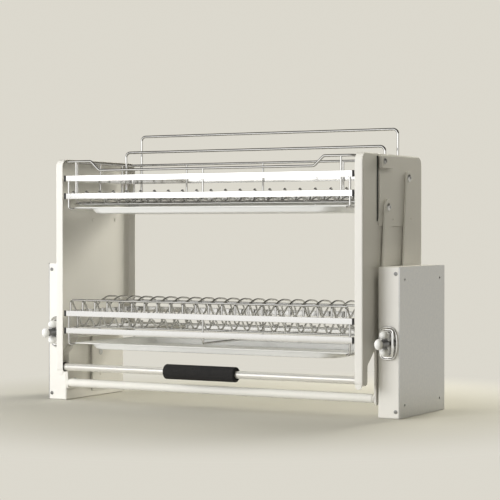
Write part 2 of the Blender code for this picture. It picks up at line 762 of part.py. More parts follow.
def lift_spring(side):
    """A spring of one wound wire. Its long straight hook reaches down to the cam wheel's groove."""
    start, heading = spring_line()
    x = side * cam_middle_x()
    path = [at(x, start), at(x, along(start, heading, SPRING_HOOK))]
    steps = SPRING_TURNS * SPRING_TURN_STEPS
    lead = SPRING_COIL_RADIUS
    for step in range(steps + 1):
        turn = 2 * math.pi * step / SPRING_TURN_STEPS
        distance = SPRING_HOOK + lead + (SPRING_LENGTH - 2 * lead - SPRING_END) * step / steps
        middle = along(start, heading, distance, SPRING_COIL_RADIUS * math.sin(turn))
        path.append(at(x + SPRING_COIL_RADIUS * math.cos(turn), middle))
    path.append(at(x, along(start, heading, SPRING_HOOK + SPRING_LENGTH - SPRING_END)))
    path.append(at(x, along(start, heading, SPRING_HOOK + SPRING_LENGTH)))
    return wires("lift_spring_" + side_name(side), [path], SPRING_WIRE_RADIUS, "spring_steel", level=1)


def spring_hanger(side):
    """A stepped post on the mounting plate that holds the spring's far end."""
    start, heading = spring_line()
    place = along(start, heading, SPRING_HOOK + SPRING_LENGTH + GAP + HANGER_PIN_RADIUS)
    inner = cam_middle_x() - HANGER_EYE / 2
    length = MOUNT_X - GAP - inner
    profile = [(0, length), (HANGER_POST_RADIUS, length), (HANGER_POST_RADIUS, HANGER_EYE),
               (HANGER_PIN_RADIUS, HANGER_EYE), (HANGER_PIN_RADIUS, 0), (0, 0)]
    return turned("spring_hanger_" + side_name(side), profile, "zinc", at(side * inner, place), (side, 0, 0))


def rotary_damper(side):
    """A round damper on the mounting plate. The drive shaft's end turns in its blind hole."""
    low = MOUNT_X - GAP - DAMPER_LENGTH
    hole = SHAFT_RADIUS + GAP
    bottom = SHAFT_INTO_DAMPER + GAP
    profile = [(0, DAMPER_LENGTH), (DAMPER_RADIUS, DAMPER_LENGTH), (DAMPER_RADIUS, DAMPER_EDGE),
               (DAMPER_RADIUS - DAMPER_EDGE, 0), (hole, 0), (hole, bottom), (0, bottom)]
    return turned("rotary_damper_" + side_name(side), profile, "black_rubber",
                  at(side * low, FRONT_PIVOT), (side, 0, 0))


# Spring force adjusters


def adjuster_place():
    """The lever's pivot, at its height and a clearance in front of the slanting spring."""
    start, heading = spring_line()
    spring_y = start[0] + (ADJUST_HEIGHT - start[1]) * heading[0] / heading[1]
    room = LEVER_HUB_RADIUS + SPRING_COIL_RADIUS + SPRING_WIRE_RADIUS + ADJUST_CLEARANCE
    return (spring_y - room / heading[1], ADJUST_HEIGHT)


def adjuster_pin(side):
    """The fixed pin from wall to wall of the housing, on which the adjuster lever tips."""
    inner = SHELL_IN_X + HOUSING_SHEET + GAP
    length = MOUNT_X - GAP - inner
    return turned("adjuster_pin_" + side_name(side), rod_profile(ADJUST_PIN_RADIUS, 0, length), "zinc",
                  at(side * inner, adjuster_place()), (side, 0, 0))


def adjuster_lever(side):
    """A flat lever with a round hub. Its front end stops just inside the housing's front."""
    back, height = adjuster_place()
    front = HOUSING_FRONT_Y + HOUSING_SHEET + LEVER_END_INSIDE
    meet = math.asin(LEVER_HALF_HEIGHT / LEVER_HUB_RADIUS)
    outline = [(front, height - LEVER_HALF_HEIGHT)]
    for step in range(TURN_STEPS + 1):
        turn = meet - math.pi + (2 * math.pi - 2 * meet) * step / TURN_STEPS
        outline.append((back + LEVER_HUB_RADIUS * math.cos(turn), height + LEVER_HUB_RADIUS * math.sin(turn)))
    outline.append((front, height + LEVER_HALF_HEIGHT))
    hole = circle(back, height, ADJUST_PIN_RADIUS + GAP)
    return flat_plate("adjuster_lever_" + side_name(side), [outline, hole], LEVER_THICKNESS, "zinc",
                      (side * HOUSING_MID_X, 0, 0), "X")


def adjuster_knob(side):
    """Ball, stem and collar in one turned piece, screwed to the lever's front end."""
    base_y = HOUSING_FRONT_Y + HOUSING_SHEET + LEVER_END_INSIDE - GAP
    ball_y = FRONT_Y + KNOB_RADIUS
    length = base_y - ball_y
    tilt = math.asin(KNOB_STEM_RADIUS / KNOB_RADIUS)
    profile = []
    for step in range(KNOB_ARC_STEPS + 1):
        turn = QUARTER - (math.pi - tilt) * step / KNOB_ARC_STEPS
        profile.append((KNOB_RADIUS * math.cos(turn), length + KNOB_RADIUS * math.sin(turn)))
    profile[0] = (0, length + KNOB_RADIUS)
    profile += [(KNOB_STEM_RADIUS, KNOB_COLLAR), (KNOB_COLLAR_RADIUS, KNOB_COLLAR),
                (KNOB_COLLAR_RADIUS, 0), (0, 0)]
    return turned("adjuster_knob_" + side_name(side), profile, "nylon",
                  (side * HOUSING_MID_X, base_y, ADJUST_HEIGHT), (0, -1, 0))


# Arms


def arm_outline(lower, upper, half, foot):
    """A leaning bar with a round top and a wide upright foot at its lower pivot.

    foot is (ahead, behind, drop, rise): how far the foot reaches from the lower pivot.
    """
    ahead, behind, drop, rise = foot
    lean = (upper[0] - lower[0]) / (upper[1] - lower[1])
    slant = half * math.hypot(1, lean)
    shoulder = rise + SHOULDER_RISE
    corners = [(lower[0] - ahead, lower[1] - drop, FOOT_CORNER), (lower[0] + behind, lower[1] - drop, FOOT_CORNER),
               (lower[0] + behind, lower[1] + rise, 0),
               (lower[0] + lean * shoulder + slant, lower[1] + shoulder, 0)]
    heading = math.atan2(upper[1] - lower[1], upper[0] - lower[0])
    for step in range(HOLE_SIDES + 1):
        turn = heading - QUARTER + math.pi * step / HOLE_SIDES
        corners.append((upper[0] + half * math.cos(turn), upper[1] + half * math.sin(turn), 0))
    corners.append((lower[0] + lean * shoulder - slant, lower[1] + shoulder, 0))
    corners.append((lower[0] - ahead, lower[1] + rise, 0))
    return rounded(corners)


def front_arm(side):
    foot = (FRONT_FOOT_AHEAD, FRONT_FOOT_BEHIND, FRONT_FOOT_DROP, FRONT_FOOT_RISE)
    outline = arm_outline(FRONT_PIVOT, FRONT_TOP, FRONT_ARM_HALF, foot)
    holes = [circle(*FRONT_PIVOT, SHAFT_RADIUS + GAP), circle(*FRONT_TOP, BOLT_RADIUS + GAP)]
    x = side * (ARM_IN_X + ARM_THICKNESS / 2)
    return flat_plate("front_arm_" + side_name(side), [outline] + holes, ARM_THICKNESS, "powder_coat",
                      (x, 0, 0), "X")


def rear_arm(side):
    foot = (REAR_FOOT_AHEAD, REAR_FOOT_BEHIND, REAR_FOOT_DROP, REAR_FOOT_RISE)
    outline = arm_outline(REAR_PIVOT, REAR_TOP, REAR_ARM_HALF, foot)
    holes = [circle(*REAR_PIVOT, PIN_RADIUS + GAP), circle(*REAR_TOP, BOLT_RADIUS + GAP)]
    x = side * (ARM_IN_X + ARM_THICKNESS / 2)
    arm = flat_plate("rear_arm_" + side_name(side), [outline] + holes, ARM_THICKNESS, "powder_coat",
                     (x, 0, 0), "X")
    place = shift(REAR_PIVOT, 0, -REAR_SCREW_DROP)
    head = turned("rear_arm_rivet_" + side_name(side), rod_profile(REAR_SCREW_RADIUS, 0, REAR_SCREW_HEAD + WELD),
                  "powder_coat", at(side * (ARM_IN_X - REAR_SCREW_HEAD), place), (side, 0, 0))
    return join(as_mesh(arm), [head])


def cross_tube():
    """The tube that makes both front arms turn together, with a narrower spigot at each end."""
    end = ARM_IN_X - GAP
    shoulder = end - TUBE_SPIGOT
    profile = [(0, end), (TUBE_SPIGOT_RADIUS, end), (TUBE_SPIGOT_RADIUS, shoulder), (TUBE_RADIUS, shoulder),
               (TUBE_RADIUS, -shoulder), (TUBE_SPIGOT_RADIUS, -shoulder), (TUBE_SPIGOT_RADIUS, -end), (0, -end)]
    place = shift(FRONT_PIVOT, -TUBE_AHEAD, 0)
    return turned("cross_tube", profile, "powder_coat", at(0, place), (1, 0, 0), steps=TURN_STEPS)


def drive_shaft(side):
    """The shaft through arm, bearing and cam wheel, with a head against the arm."""
    head_x = ARM_IN_X - GAP - SHAFT_HEAD
    end_x = MOUNT_X - GAP - DAMPER_LENGTH + SHAFT_INTO_DAMPER
    length = end_x - head_x
    profile = [(0, length), (SHAFT_RADIUS, length), (SHAFT_RADIUS, SHAFT_HEAD), (SHAFT_HEAD_RADIUS, SHAFT_HEAD),
               (SHAFT_HEAD_RADIUS, 0), (0, 0)]
    return turned("drive_shaft_" + side_name(side), profile, "zinc", at(side * head_x, FRONT_PIVOT), (side, 0, 0))


def cam_wheel(side):
    """The grooved wheel on the drive shaft that pulls the spring."""
    bore = SHAFT_RADIUS + GAP
    low = cam_middle_x() - CAM_WIDTH / 2
    rim = CAM_RADIUS + CAM_GROOVE
    profile = [(rim, CAM_WIDTH), (rim, CAM_WIDTH - CAM_FLANGE), (CAM_RADIUS, CAM_WIDTH - CAM_FLANGE),
               (CAM_RADIUS, CAM_FLANGE), (rim, CAM_FLANGE), (rim, 0), (bore, 0), (bore, CAM_WIDTH)]
    return turned("cam_wheel_" + side_name(side), profile, "zinc", at(side * low, FRONT_PIVOT),
                  (side, 0, 0), ring=True)


# Rack frame


def panel_outline():
    """The side panel's outline, clockwise from the top front corner seen from its right."""
    front = PANEL_FRONT_Y
    foot_back = front + PANEL_FOOT_WIDTH
    foot_top = PANEL_FOOT_SIDE_TOP
    return rounded([(front, PANEL_TOP, PANEL_CORNER), (front, PANEL_FOOT_BOTTOM, PANEL_FOOT_CORNER),
                    (foot_back, PANEL_FOOT_BOTTOM, PANEL_FOOT_CORNER), (foot_back, foot_top, PANEL_FOOT_CORNER),
                    (foot_back + PANEL_DIAGONAL, PANEL_BOTTOM, PANEL_DIAGONAL_CORNER),
                    (REAR_Y, PANEL_BOTTOM, PANEL_CORNER), (REAR_Y, PANEL_TOP, PANEL_CORNER)])


def rivet_places():
    base = FRONT_TOP
    return [shift(base, *RIVET_UPPER), shift(base, *RIVET_LOWER_FRONT), shift(base, *RIVET_LOWER_REAR)]


def side_panel(side):
    """A pressed pan: the web lies outside and its edge is turned inwards all round."""
    tag = side_name(side)
    mesh = bpy.data.meshes.new("side_panel_" + tag)
    shape = bmesh.new()
    outer = [shape.verts.new(at(side * PANEL_OUT_X, place)) for place in panel_outline()]
    web = shape.faces.new(outer)
    walls = bmesh.ops.extrude_edge_only(shape, edges=web.edges[:])["geom"]
    edge = [item for item in walls if isinstance(item, bmesh.types.BMVert)]
    bmesh.ops.translate(shape, vec=(-side * PANEL_FLANGE, 0, 0), verts=edge)
    bmesh.ops.recalc_face_normals(shape, faces=shape.faces)
    if web.normal.x * side < 0:
        bmesh.ops.reverse_faces(shape, faces=shape.faces)
    shape.to_mesh(mesh)
    shape.free()
    panel = add_object("side_panel_" + tag, mesh, "powder_coat")
    bevel(panel, PANEL_BEND)
    solidify(panel, PANEL_SHEET)
    start = side * (PANEL_IN_X - CUT_OVERRUN)
    reach = PANEL_SHEET + 2 * CUT_OVERRUN
    holes = []
    for index, place in enumerate(rivet_places()):
        name = "cut_rivet_" + tag + "_" + str(index)
        holes.append(cutter_rod(name, at(start, place), reach, RIVET_RADIUS + GAP, (side, 0, 0)))
    cut(panel, holes)
    return panel


def hanger_plate(side):
    """The plate outside the panel that carries both upper pivots, with its rivets and top block."""
    tag = side_name(side)
    front = FRONT_TOP[0] - HANGER_AHEAD
    rear = REAR_TOP[0] + HANGER_BEHIND
    top = REAR_TOP[1] + HANGER_ABOVE
    bottom = FRONT_TOP[1] - HANGER_BELOW
    outline = rounded([(front, top, HANGER_CORNER), (front, bottom + HANGER_LUG_HEIGHT, HANGER_CORNER),
                       (front - HANGER_LUG, bottom + HANGER_CORNER, HANGER_CORNER / 2),
                       (front, bottom, HANGER_CORNER / 2), (rear, bottom, HANGER_CORNER), (rear, top, HANGER_CORNER)])
    x = side * (HANGER_IN_X + HANGER_SHEET / 2)
    plate = flat_plate("hanger_plate_" + tag, [outline], HANGER_SHEET, "powder_coat", (x, 0, 0), "X")
    inner = HANGER_OUT_X - WELD
    outer = HANGER_OUT_X + HANGER_BLOCK_WIDTH
    low = (min(side * inner, side * outer), front - HANGER_BLOCK_AHEAD, top - HANGER_BLOCK_HEIGHT)
    high = (max(side * inner, side * outer), front - HANGER_BLOCK_AHEAD + HANGER_BLOCK_LENGTH, top - WELD)
    block_top = block("hanger_block_" + tag, low, high, "powder_coat")
    bevel(block_top, HANGER_BLOCK_EDGE)
    helpers = [block_top]
    start = PANEL_IN_X - GAP - RIVET_HEAD
    length = HANGER_OUT_X - WELD - start
    profile = [(0, length), (RIVET_RADIUS, length), (RIVET_RADIUS, RIVET_HEAD), (RIVET_HEAD_RADIUS, RIVET_HEAD),
               (RIVET_HEAD_RADIUS - RIVET_HEAD, 0), (0, 0)]
    for index, place in enumerate(rivet_places()):
        name = "rivet_" + tag + "_" + str(index)
        helpers.append(turned(name, profile, "powder_coat", at(side * start, place), (side, 0, 0)))
    return join(as_mesh(plate), helpers)


def upper_pivot_bolt(name, side, place):
    """A shoulder bolt on which an arm's upper end turns."""
    start = HANGER_OUT_X + GAP
    head_low = ARM_OUT_X + GAP - start
    head_high = head_low + BOLT_HEAD
    profile = [(0, head_high), (BOLT_HEAD_RADIUS - BOLT_HEAD_EDGE, head_high),
               (BOLT_HEAD_RADIUS, head_high - BOLT_HEAD_EDGE), (BOLT_HEAD_RADIUS, head_low),
               (BOLT_RADIUS, head_low), (BOLT_RADIUS, 0), (0, 0)]
    return turned(name + "_" + side_name(side), profile, "zinc", at(side * start, place), (side, 0, 0))


# Baskets


def band_outline(inset):
    """Plan outline of a basket band's face at an inset from its outer face."""
    x = BAND_HALF_WIDTH - inset
    front = BAND_FRONT_Y + inset
    rear = BAND_REAR_Y - inset
    radius = BAND_CORNER - inset
    return rounded([(-x, front, radius), (x, front, radius), (x, rear, radius), (-x, rear, radius)])


def basket_band(name, top):
    """One flat strip bent round the basket, standing on edge."""
    outlines = [band_outline(0), band_outline(BAND_SHEET)]
    return as_mesh(flat_plate(name, outlines, BAND_HEIGHT, "chrome", (0, 0, top - BAND_HEIGHT / 2), "Z"))


def wire_mesh(name, paths, radius, closed=False, level=WIRE_BEVEL_STEPS):
    """Chrome wires as a plain mesh, ready to be welded to others."""
    return as_mesh(wires(name, paths, radius, "chrome", closed, level))


def side_bosses(name, height):
    """Four round bosses, welded to the lower band, that reach the side panels."""
    paths = []
    for side in (-1, 1):
        for y in (BAND_FRONT_Y + BOSS_FROM_END, BAND_REAR_Y - BOSS_FROM_END):
            paths.append([(side * (BAND_HALF_WIDTH - WELD), y, height), (side * (PANEL_IN_X - GAP), y, height)])
    return wire_mesh(name, paths, BOSS_RADIUS)


def upper_rail():
    """The closed top rail: high at the sides and back, and dipped along the front."""
    x = POST_SIDE_X
    corner = RAIL_CORNER
    dip = RAIL_DIP_HALF
    crest = RAIL_DIP_HALF + RAIL_DIP_SLOPE
    plan = rounded([(x, POST_FRONT_Y, corner), (x, POST_REAR_Y, corner), (-x, POST_REAR_Y, corner),
                    (-x, POST_FRONT_Y, corner)], steps=2)
    path = [(u, v, RAIL_HIGH) for u, v in plan]
    path += [(-crest, POST_FRONT_Y, RAIL_HIGH), (-dip, POST_FRONT_Y, RAIL_LOW),
             (dip, POST_FRONT_Y, RAIL_LOW), (crest, POST_FRONT_Y, RAIL_HIGH)]
    return wire_mesh("upper_rail", [path], RAIL_RADIUS, closed=True)


def posts(name, low, high, front_posts):
    """Upright wires inside the bands. front_posts is a list of (x, top) for the front ones."""
    paths = [[(x, POST_FRONT_Y, low), (x, POST_FRONT_Y, top)] for x, top in front_posts]
    middle = (POST_FRONT_Y + POST_REAR_Y) / 2
    for side in (-1, 1):
        for y in (middle - SIDE_POST_SPACING, middle, middle + SIDE_POST_SPACING):
            paths.append([(side * POST_SIDE_X, y, low), (side * POST_SIDE_X, y, high)])
    for x in (-REAR_POST_X, 0, REAR_POST_X):
        paths.append([(x, POST_REAR_Y, low), (x, POST_REAR_Y, high)])
    return wire_mesh(name, paths, POST_RADIUS, level=MAT_BEVEL_STEPS)


def runner_path(side, top, tray_top):
    """Down at the front corner, in under the tray's rim, back along it and up at the rear corner."""
    corner = side * RUNNER_CORNER_X
    rail = side * RUNNER_RAIL_X
    bend = RUNNER_CORNER
    z = tray_top - TRAY_SHEET - GAP - RUNNER_RADIUS
    return [(corner, RUNNER_FRONT_Y, top), (corner, RUNNER_FRONT_Y, z + bend),
            (corner - side * bend, RUNNER_FRONT_Y, z), (rail, RUNNER_FRONT_Y + bend, z),
            (rail, RUNNER_REAR_Y - bend, z), (corner - side * bend, RUNNER_REAR_Y, z),
            (corner, RUNNER_REAR_Y, z + bend), (corner, RUNNER_REAR_Y, top)]


def tray_runners(name, band_top, tray_top):
    """Wires that hang from the basket's corners and carry the drip tray."""
    return wire_mesh(name, [runner_path(side, band_top, tray_top) for side in (-1, 1)], RUNNER_RADIUS,
                     level=MAT_BEVEL_STEPS)


def upper_basket_frame():
    high = UPPER_BAND_TOP
    low = UPPER_BAND_LOWER_TOP
    uprights = [(-UPPER_POST_X, RAIL_HIGH), (0, RAIL_LOW), (UPPER_POST_X, RAIL_HIGH)]
    return join(basket_band("upper_basket_frame", high),
                [posts("upper_posts", low - BAND_HEIGHT + GAP, RAIL_HIGH, uprights),
                 basket_band("upper_low_band", low), upper_rail(),
                 tray_runners("upper_runners", high - GAP, UPPER_TRAY_TOP),
                 side_bosses("upper_bosses", low - BAND_HEIGHT / 2)])


def lower_basket_frame():
    high = LOWER_BAND_TOP
    low = LOWER_BAND_LOWER_TOP
    return join(basket_band("lower_basket_frame", high),
                [posts("lower_posts", low - BAND_HEIGHT + GAP, high - GAP, [(0, high - GAP)]),
                 basket_band("lower_low_band", low),
                 tray_runners("lower_runners", high - GAP, LOWER_TRAY_TOP),
                 side_bosses("lower_bosses", low - BAND_HEIGHT / 2)])


def under(height):
    """Middle height of a cross rod welded under a floor wire at this height."""
    return height - FLOOR_WIRE_RADIUS + WELD - CROSS_ROD_RADIUS


def cross_rods(name, places):
    """Straight rods from side band to side band at the (back, height) places."""
    end = BAND_IN_X - GAP
    return wire_mesh(name, [[(-end, y, z), (end, y, z)] for y, z in places], CROSS_ROD_RADIUS,
                     level=MAT_BEVEL_STEPS)


def floor_wire_profile():
    """The upper floor wire's side view: over the front band, two troughs and a hump between."""
    start = UPPER_BAND_LOWER_TOP - BAND_HEIGHT / 2
    return [(MAT_FRONT_Y, start), (MAT_FRONT_Y, FLOOR_CREST),
            (BAND_FRONT_Y + TROUGH_FRONT, FLOOR_TROUGH), (BAND_FRONT_Y + TROUGH_FRONT_END, FLOOR_TROUGH),
            (BAND_FRONT_Y + HUMP_BACK, FLOOR_HUMP), (BAND_FRONT_Y + TROUGH_REAR_START, FLOOR_TROUGH),
            (MAT_REAR_Y - FLOOR_CREST_SLOPE, FLOOR_TROUGH), (MAT_REAR_Y, FLOOR_CREST)]


def floor_xs():
    half = [FLOOR_PITCH / 2 + FLOOR_PITCH * index for index in range(FLOOR_PAIRS)]
    return [-x for x in reversed(half)] + half


def upper_rod_ys():
    """Places of the cross rods, as shares of the basket's depth. All lie under the troughs."""
    return [BAND_FRONT_Y + BAND_DEPTH * share for share in UPPER_ROD_SHARES]


def tray_stays():
    """Short studs under the second cross rod, which keep the upper tray from lifting."""
    y = upper_rod_ys()[1]
    low = UPPER_TRAY_TOP + STAY_CLEARANCE
    paths = [[(x, y, low), (x, y, under(FLOOR_TROUGH))] for x in (-STAY_SPACING, 0, STAY_SPACING)]
    return wire_mesh("tray_stays", paths, STAY_RADIUS)


def upper_basket_floor():
    profile = floor_wire_profile()
    floor = wire_mesh("upper_basket_floor", [[at(x, place) for place in profile] for x in floor_xs()],
                      FLOOR_WIRE_RADIUS, level=MAT_BEVEL_STEPS)
    rods = cross_rods("upper_rods", [(y, under(FLOOR_TROUGH)) for y in upper_rod_ys()])
    return join(floor, [rods, tray_stays()])


def staple(y, top, low):
    """A wide staple: two legs and a long straight back with bent corners."""
    x = BOWL_RAIL_HALF_SPAN
    corner = BOWL_RAIL_CORNER
    trim = corner * CORNER_TRIM_SHARE
    return [(-x, y, low), (-x, y, top - corner), (-x + trim, y, top - trim), (-x + corner, y, top),
            (x - corner, y, top), (x - trim, y, top - trim), (x, y, top - corner), (x, y, low)]


def bowl_rail_rear():
    """The high rail at the back, whose legs stand against both bands."""
    y = BAND_REAR_Y + GAP + BOWL_RAIL_RADIUS
    path = staple(y, REAR_BOWL_RAIL_TOP, UPPER_BAND_LOWER_TOP - BAND_HEIGHT)
    return wires("bowl_rail_rear", [path], BOWL_RAIL_RADIUS, "chrome")


def bowl_rail_front():
    """The lower rail in mid basket, whose legs stand against the third cross rod."""
    y = upper_rod_ys()[2] - CROSS_ROD_RADIUS - GAP - BOWL_RAIL_RADIUS
    path = staple(y, FRONT_BOWL_RAIL_TOP, under(FLOOR_TROUGH))
    return wires("bowl_rail_front", [path], BOWL_RAIL_RADIUS, "chrome")


def plate_wire_profile():
    """Side view of a plate divider: front peak, vee for the plate's edge, rear arch, rear foot."""
    base = BAND_FRONT_Y
    vee = PLATE_VEE
    arch = PLATE_REAR_TOP - vee
    points = [(MAT_FRONT_Y, PLATE_START), (MAT_FRONT_Y, PLATE_FRONT_TOP),
              (base + PLATE_VEE_BACK - PLATE_VEE_HALF, vee),
              (base + PLATE_VEE_BACK + PLATE_VEE_HALF, vee)]
    for back, share in zip(PLATE_ARCH_BACKS, PLATE_ARCH_SHARES):
        points.append((base + back, vee + arch * share))
    points.append((base + PLATE_FOOT_BACK, vee))
    return points


def plate_xs():
    """Where the plate wires stand across the rack."""
    first = -PLATE_WIRE_PITCH * (PLATE_WIRES - 1) / 2
    return [first + PLATE_WIRE_PITCH * index for index in range(PLATE_WIRES)]


def plate_rack():
    """The plate divider mat: equal bent wires on cross rods, one of them behind the front peaks."""
    profile = plate_wire_profile()
    mat = wire_mesh("plate_rack", [[at(x, place) for place in profile] for x in plate_xs()], FLOOR_WIRE_RADIUS,
                    level=MAT_BEVEL_STEPS)
    nest = FLOOR_WIRE_RADIUS - WELD + CROSS_ROD_RADIUS
    foot = BAND_FRONT_Y + (PLATE_ARCH_BACKS[-1] + PLATE_FOOT_BACK) / 2
    rods = [(MAT_FRONT_Y + nest, PLATE_FRONT_TOP - PLATE_PEAK_DROP), (BAND_FRONT_Y + PLATE_VEE_BACK, under(PLATE_VEE)),
            (foot, under(PLATE_VEE))]
    return join(mat, [cross_rods("lower_rods", rods)])


def drip_tray(name, top):
    """A pressed tray: a flat rim, sloping walls with round corners and a flat bottom."""
    front = FRONT_Y + TRAY_SETBACK
    rear = front + TRAY_LENGTH
    half = TRAY_HALF_WIDTH
    deep = TRAY_DEPTH - TRAY_SHEET
    rim = rounded([(-half, front, TRAY_RIM_CORNER), (half, front, TRAY_RIM_CORNER),
                   (half, rear, TRAY_RIM_CORNER), (-half, rear, TRAY_RIM_CORNER)])
    x = half - TRAY_RIM_SIDE
    low = front + TRAY_RIM_END
    high = rear - TRAY_RIM_END
    radius = TRAY_BASIN_CORNER
    mouth = rounded([(-x, low, radius), (x, low, radius), (x, high, radius), (-x, high, radius)])
    x -= TRAY_SLOPE
    low += TRAY_END_SLOPE
    high -= TRAY_END_SLOPE
    floor = rounded([(-x, low, radius), (x, low, radius), (x, high, radius), (-x, high, radius)])
    mesh = bpy.data.meshes.new(name)
    shape = bmesh.new()
    loops = []
    for outline, z in ((rim, 0), (mouth, 0), (floor, -deep)):
        loops.append([shape.verts.new((u, v, z)) for u, v in outline])
    count = len(rim)
    for upper, lower in zip(loops, loops[1:]):
        for index in range(count):
            after = (index + 1) % count
            shape.faces.new((upper[index], upper[after], lower[after], lower[index]))
    shape.faces.new(loops[-1])
    shape.normal_update()
    shape.to_mesh(mesh)
    shape.free()
    tray = add_object(name, mesh, "tray_sheet")
    tray.location = (0, 0, top)
    solidify(tray, TRAY_SHEET)
    return tray


# Handle


def handle_place():
    return (FRONT_Y + HANDLE_SETBACK, HANDLE_HEIGHT)


def handle_tube():
    end = PANEL_IN_X - GAP - SOCKET_FLOOR - GAP
    path = [at(-end, handle_place()), at(end, handle_place())]
    return wires("handle_tube", [path], HANDLE_RADIUS, "satin_tube", level=HANDLE_BEVEL_STEPS)


def handle_grip():
    half = GRIP_LENGTH / 2
    bore = HANDLE_RADIUS + GAP
    edge = GRIP_RADIUS - GRIP_EDGE
    profile = [(edge, half), (GRIP_RADIUS, half - GRIP_EDGE), (GRIP_RADIUS, GRIP_EDGE - half), (edge, -half),
               (bore, -half), (bore, half)]
    return turned("handle_grip", profile, "foam", at(GRIP_SHIFT, handle_place()), (1, 0, 0), ring=True, steps=24)


def handle_socket(side):
    """A cup in the panel's foot that holds the handle tube's end."""
    base = PANEL_IN_X - GAP
    depth = base - FLANGE_EDGE_X + SOCKET_PROUD
    bore = HANDLE_RADIUS + GAP
    profile = [(0, 0), (bore, 0), (bore, depth - SOCKET_FLOOR), (SOCKET_RADIUS, depth - SOCKET_FLOOR),
               (SOCKET_RADIUS, -SOCKET_FLOOR), (0, -SOCKET_FLOOR)]
    place = at(side * (base - SOCKET_FLOOR), handle_place())
    return turned("handle_socket_" + side_name(side), profile, "black_rubber", place, (-side, 0, 0))


def build():
    both = (-1, 1)
    for side in both:
        housing_shell(side)
        mounting_plate(side)
        escutcheon(side)
        cover_screw(side, "upper")
        cover_screw(side, "lower")
        shaft_bearing(side)
        rear_pivot_pin(side)
        rear_pivot_washer(side)
        rest_stop(side)
        lift_spring(side)
        spring_hanger(side)
        rotary_damper(side)
        adjuster_pin(side)

    for side in both:
        adjuster = hub("axis_adjuster_" + side_name(side), at(side * HOUSING_MID_X, adjuster_place()))
        carry(adjuster, [adjuster_lever(side), adjuster_knob(side)])

    arms = [cross_tube()]
    for side in both:
        arms += [front_arm(side), drive_shaft(side), cam_wheel(side)]
    carry(hub("axis_front_arms", at(0, FRONT_PIVOT)), arms)

    for side in both:
        carry(hub("axis_rear_arm_" + side_name(side), at(side * ARM_IN_X, REAR_PIVOT)), [rear_arm(side)])

    rack = [upper_basket_frame(), upper_basket_floor(), bowl_rail_rear(), bowl_rail_front(),
            lower_basket_frame(), plate_rack(), handle_tube(), handle_grip()]
    for side in both:
        rack += [side_panel(side), hanger_plate(side), handle_socket(side),
                 upper_pivot_bolt("front_pivot_bolt", side, FRONT_TOP),
                 upper_pivot_bolt("rear_pivot_bolt", side, REAR_TOP)]
    carry(hub("axis_rack", at(0, FRONT_TOP)), rack)

    carry(hub("axis_upper_tray", (0, FRONT_Y + TRAY_SETBACK, UPPER_TRAY_TOP)),
          [drip_tray("upper_drip_tray", UPPER_TRAY_TOP)])
    carry(hub("axis_lower_tray", (0, FRONT_Y + TRAY_SETBACK, LOWER_TRAY_TOP)),
          [drip_tray("lower_drip_tray", LOWER_TRAY_TOP)])


build()
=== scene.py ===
import math

import bmesh
import bpy
import numpy as np
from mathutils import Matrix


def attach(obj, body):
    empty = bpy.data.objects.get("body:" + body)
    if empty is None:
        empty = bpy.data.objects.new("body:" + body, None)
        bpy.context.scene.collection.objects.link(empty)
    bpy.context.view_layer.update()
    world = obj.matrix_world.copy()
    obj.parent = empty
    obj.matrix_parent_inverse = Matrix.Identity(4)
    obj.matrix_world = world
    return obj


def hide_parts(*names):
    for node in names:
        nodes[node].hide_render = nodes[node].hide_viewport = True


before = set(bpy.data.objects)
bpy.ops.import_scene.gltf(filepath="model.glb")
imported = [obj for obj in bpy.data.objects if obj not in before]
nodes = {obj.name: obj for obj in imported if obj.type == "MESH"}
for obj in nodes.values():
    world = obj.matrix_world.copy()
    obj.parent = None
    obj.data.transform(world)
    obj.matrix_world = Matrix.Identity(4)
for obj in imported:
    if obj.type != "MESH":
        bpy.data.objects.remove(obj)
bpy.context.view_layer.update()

# Lengths of pieces are millimetres, and become metres where a mesh is made
MM = 0.001
SIDES = {"left": -1, "right": 1}
X = np.array([1.0, 0.0, 0.0])
Z = np.array([0.0, 0.0, 1.0])

# Layers beside each housing, outwards from the middle of the rack
PANEL_INNER, PANEL_OUTER = 373.8, 375.0
HANGER_INNER, HANGER_OUTER = 375.3, 376.8
ARM_INNER, ARM_OUTER = 377.4, 381.8
HOUSING_INNER = 384.4
HOUSING_MIDDLE = 407.2
HOUSING_FRONT = -91.0

# Pivots as (back, height)
FRONT_PIVOT = np.array([-68.0, 39.0])
FRONT_TOP = np.array([-34.0, 427.0])
REAR_PIVOT = np.array([35.0, 101.0])
REAR_TOP = np.array([69.0, 489.0])
TUBE_PLACE = (-89.0, 39.0)
HANDLE_PLACE = (-131.2, 78.0)
ADJUSTER_HEIGHT = 152.0
ADJUSTER_PIVOT = (-17.93, ADJUSTER_HEIGHT)


# Surfaces worked out with numpy: each returns points and faces

# Past this cosine a direction counts as lying along an axis
ALONG_AXIS = 0.9
# The end ring of a wire as a share of its radius
TIP_SHARE = 0.65
# A bar widens from its waist to its foot over this height
SHOULDER = 20
FOOT_ROUND, WAIST_ROUND, SHARP = 9, 14, 0.01
# A screw's cross, as shares of its head's radius and height
CROSS_HALF, CROSS_FADE = 0.13, 0.05
CROSS_REACH, CROSS_END = 0.62, 0.1
CROSS_DEPTH = 0.8


def unit(vectors):
    """Vectors divided by their lengths, along the last axis."""
    return vectors / np.linalg.norm(vectors, axis=-1, keepdims=True)


def square_to(direction):
    """A direction made one long, and two more that are square to it and to each other."""
    axis = unit(np.asarray(direction, float))
    side = unit(np.cross(axis, Z if abs(axis[2]) < ALONG_AXIS else X))
    return axis, side, np.cross(axis, side)


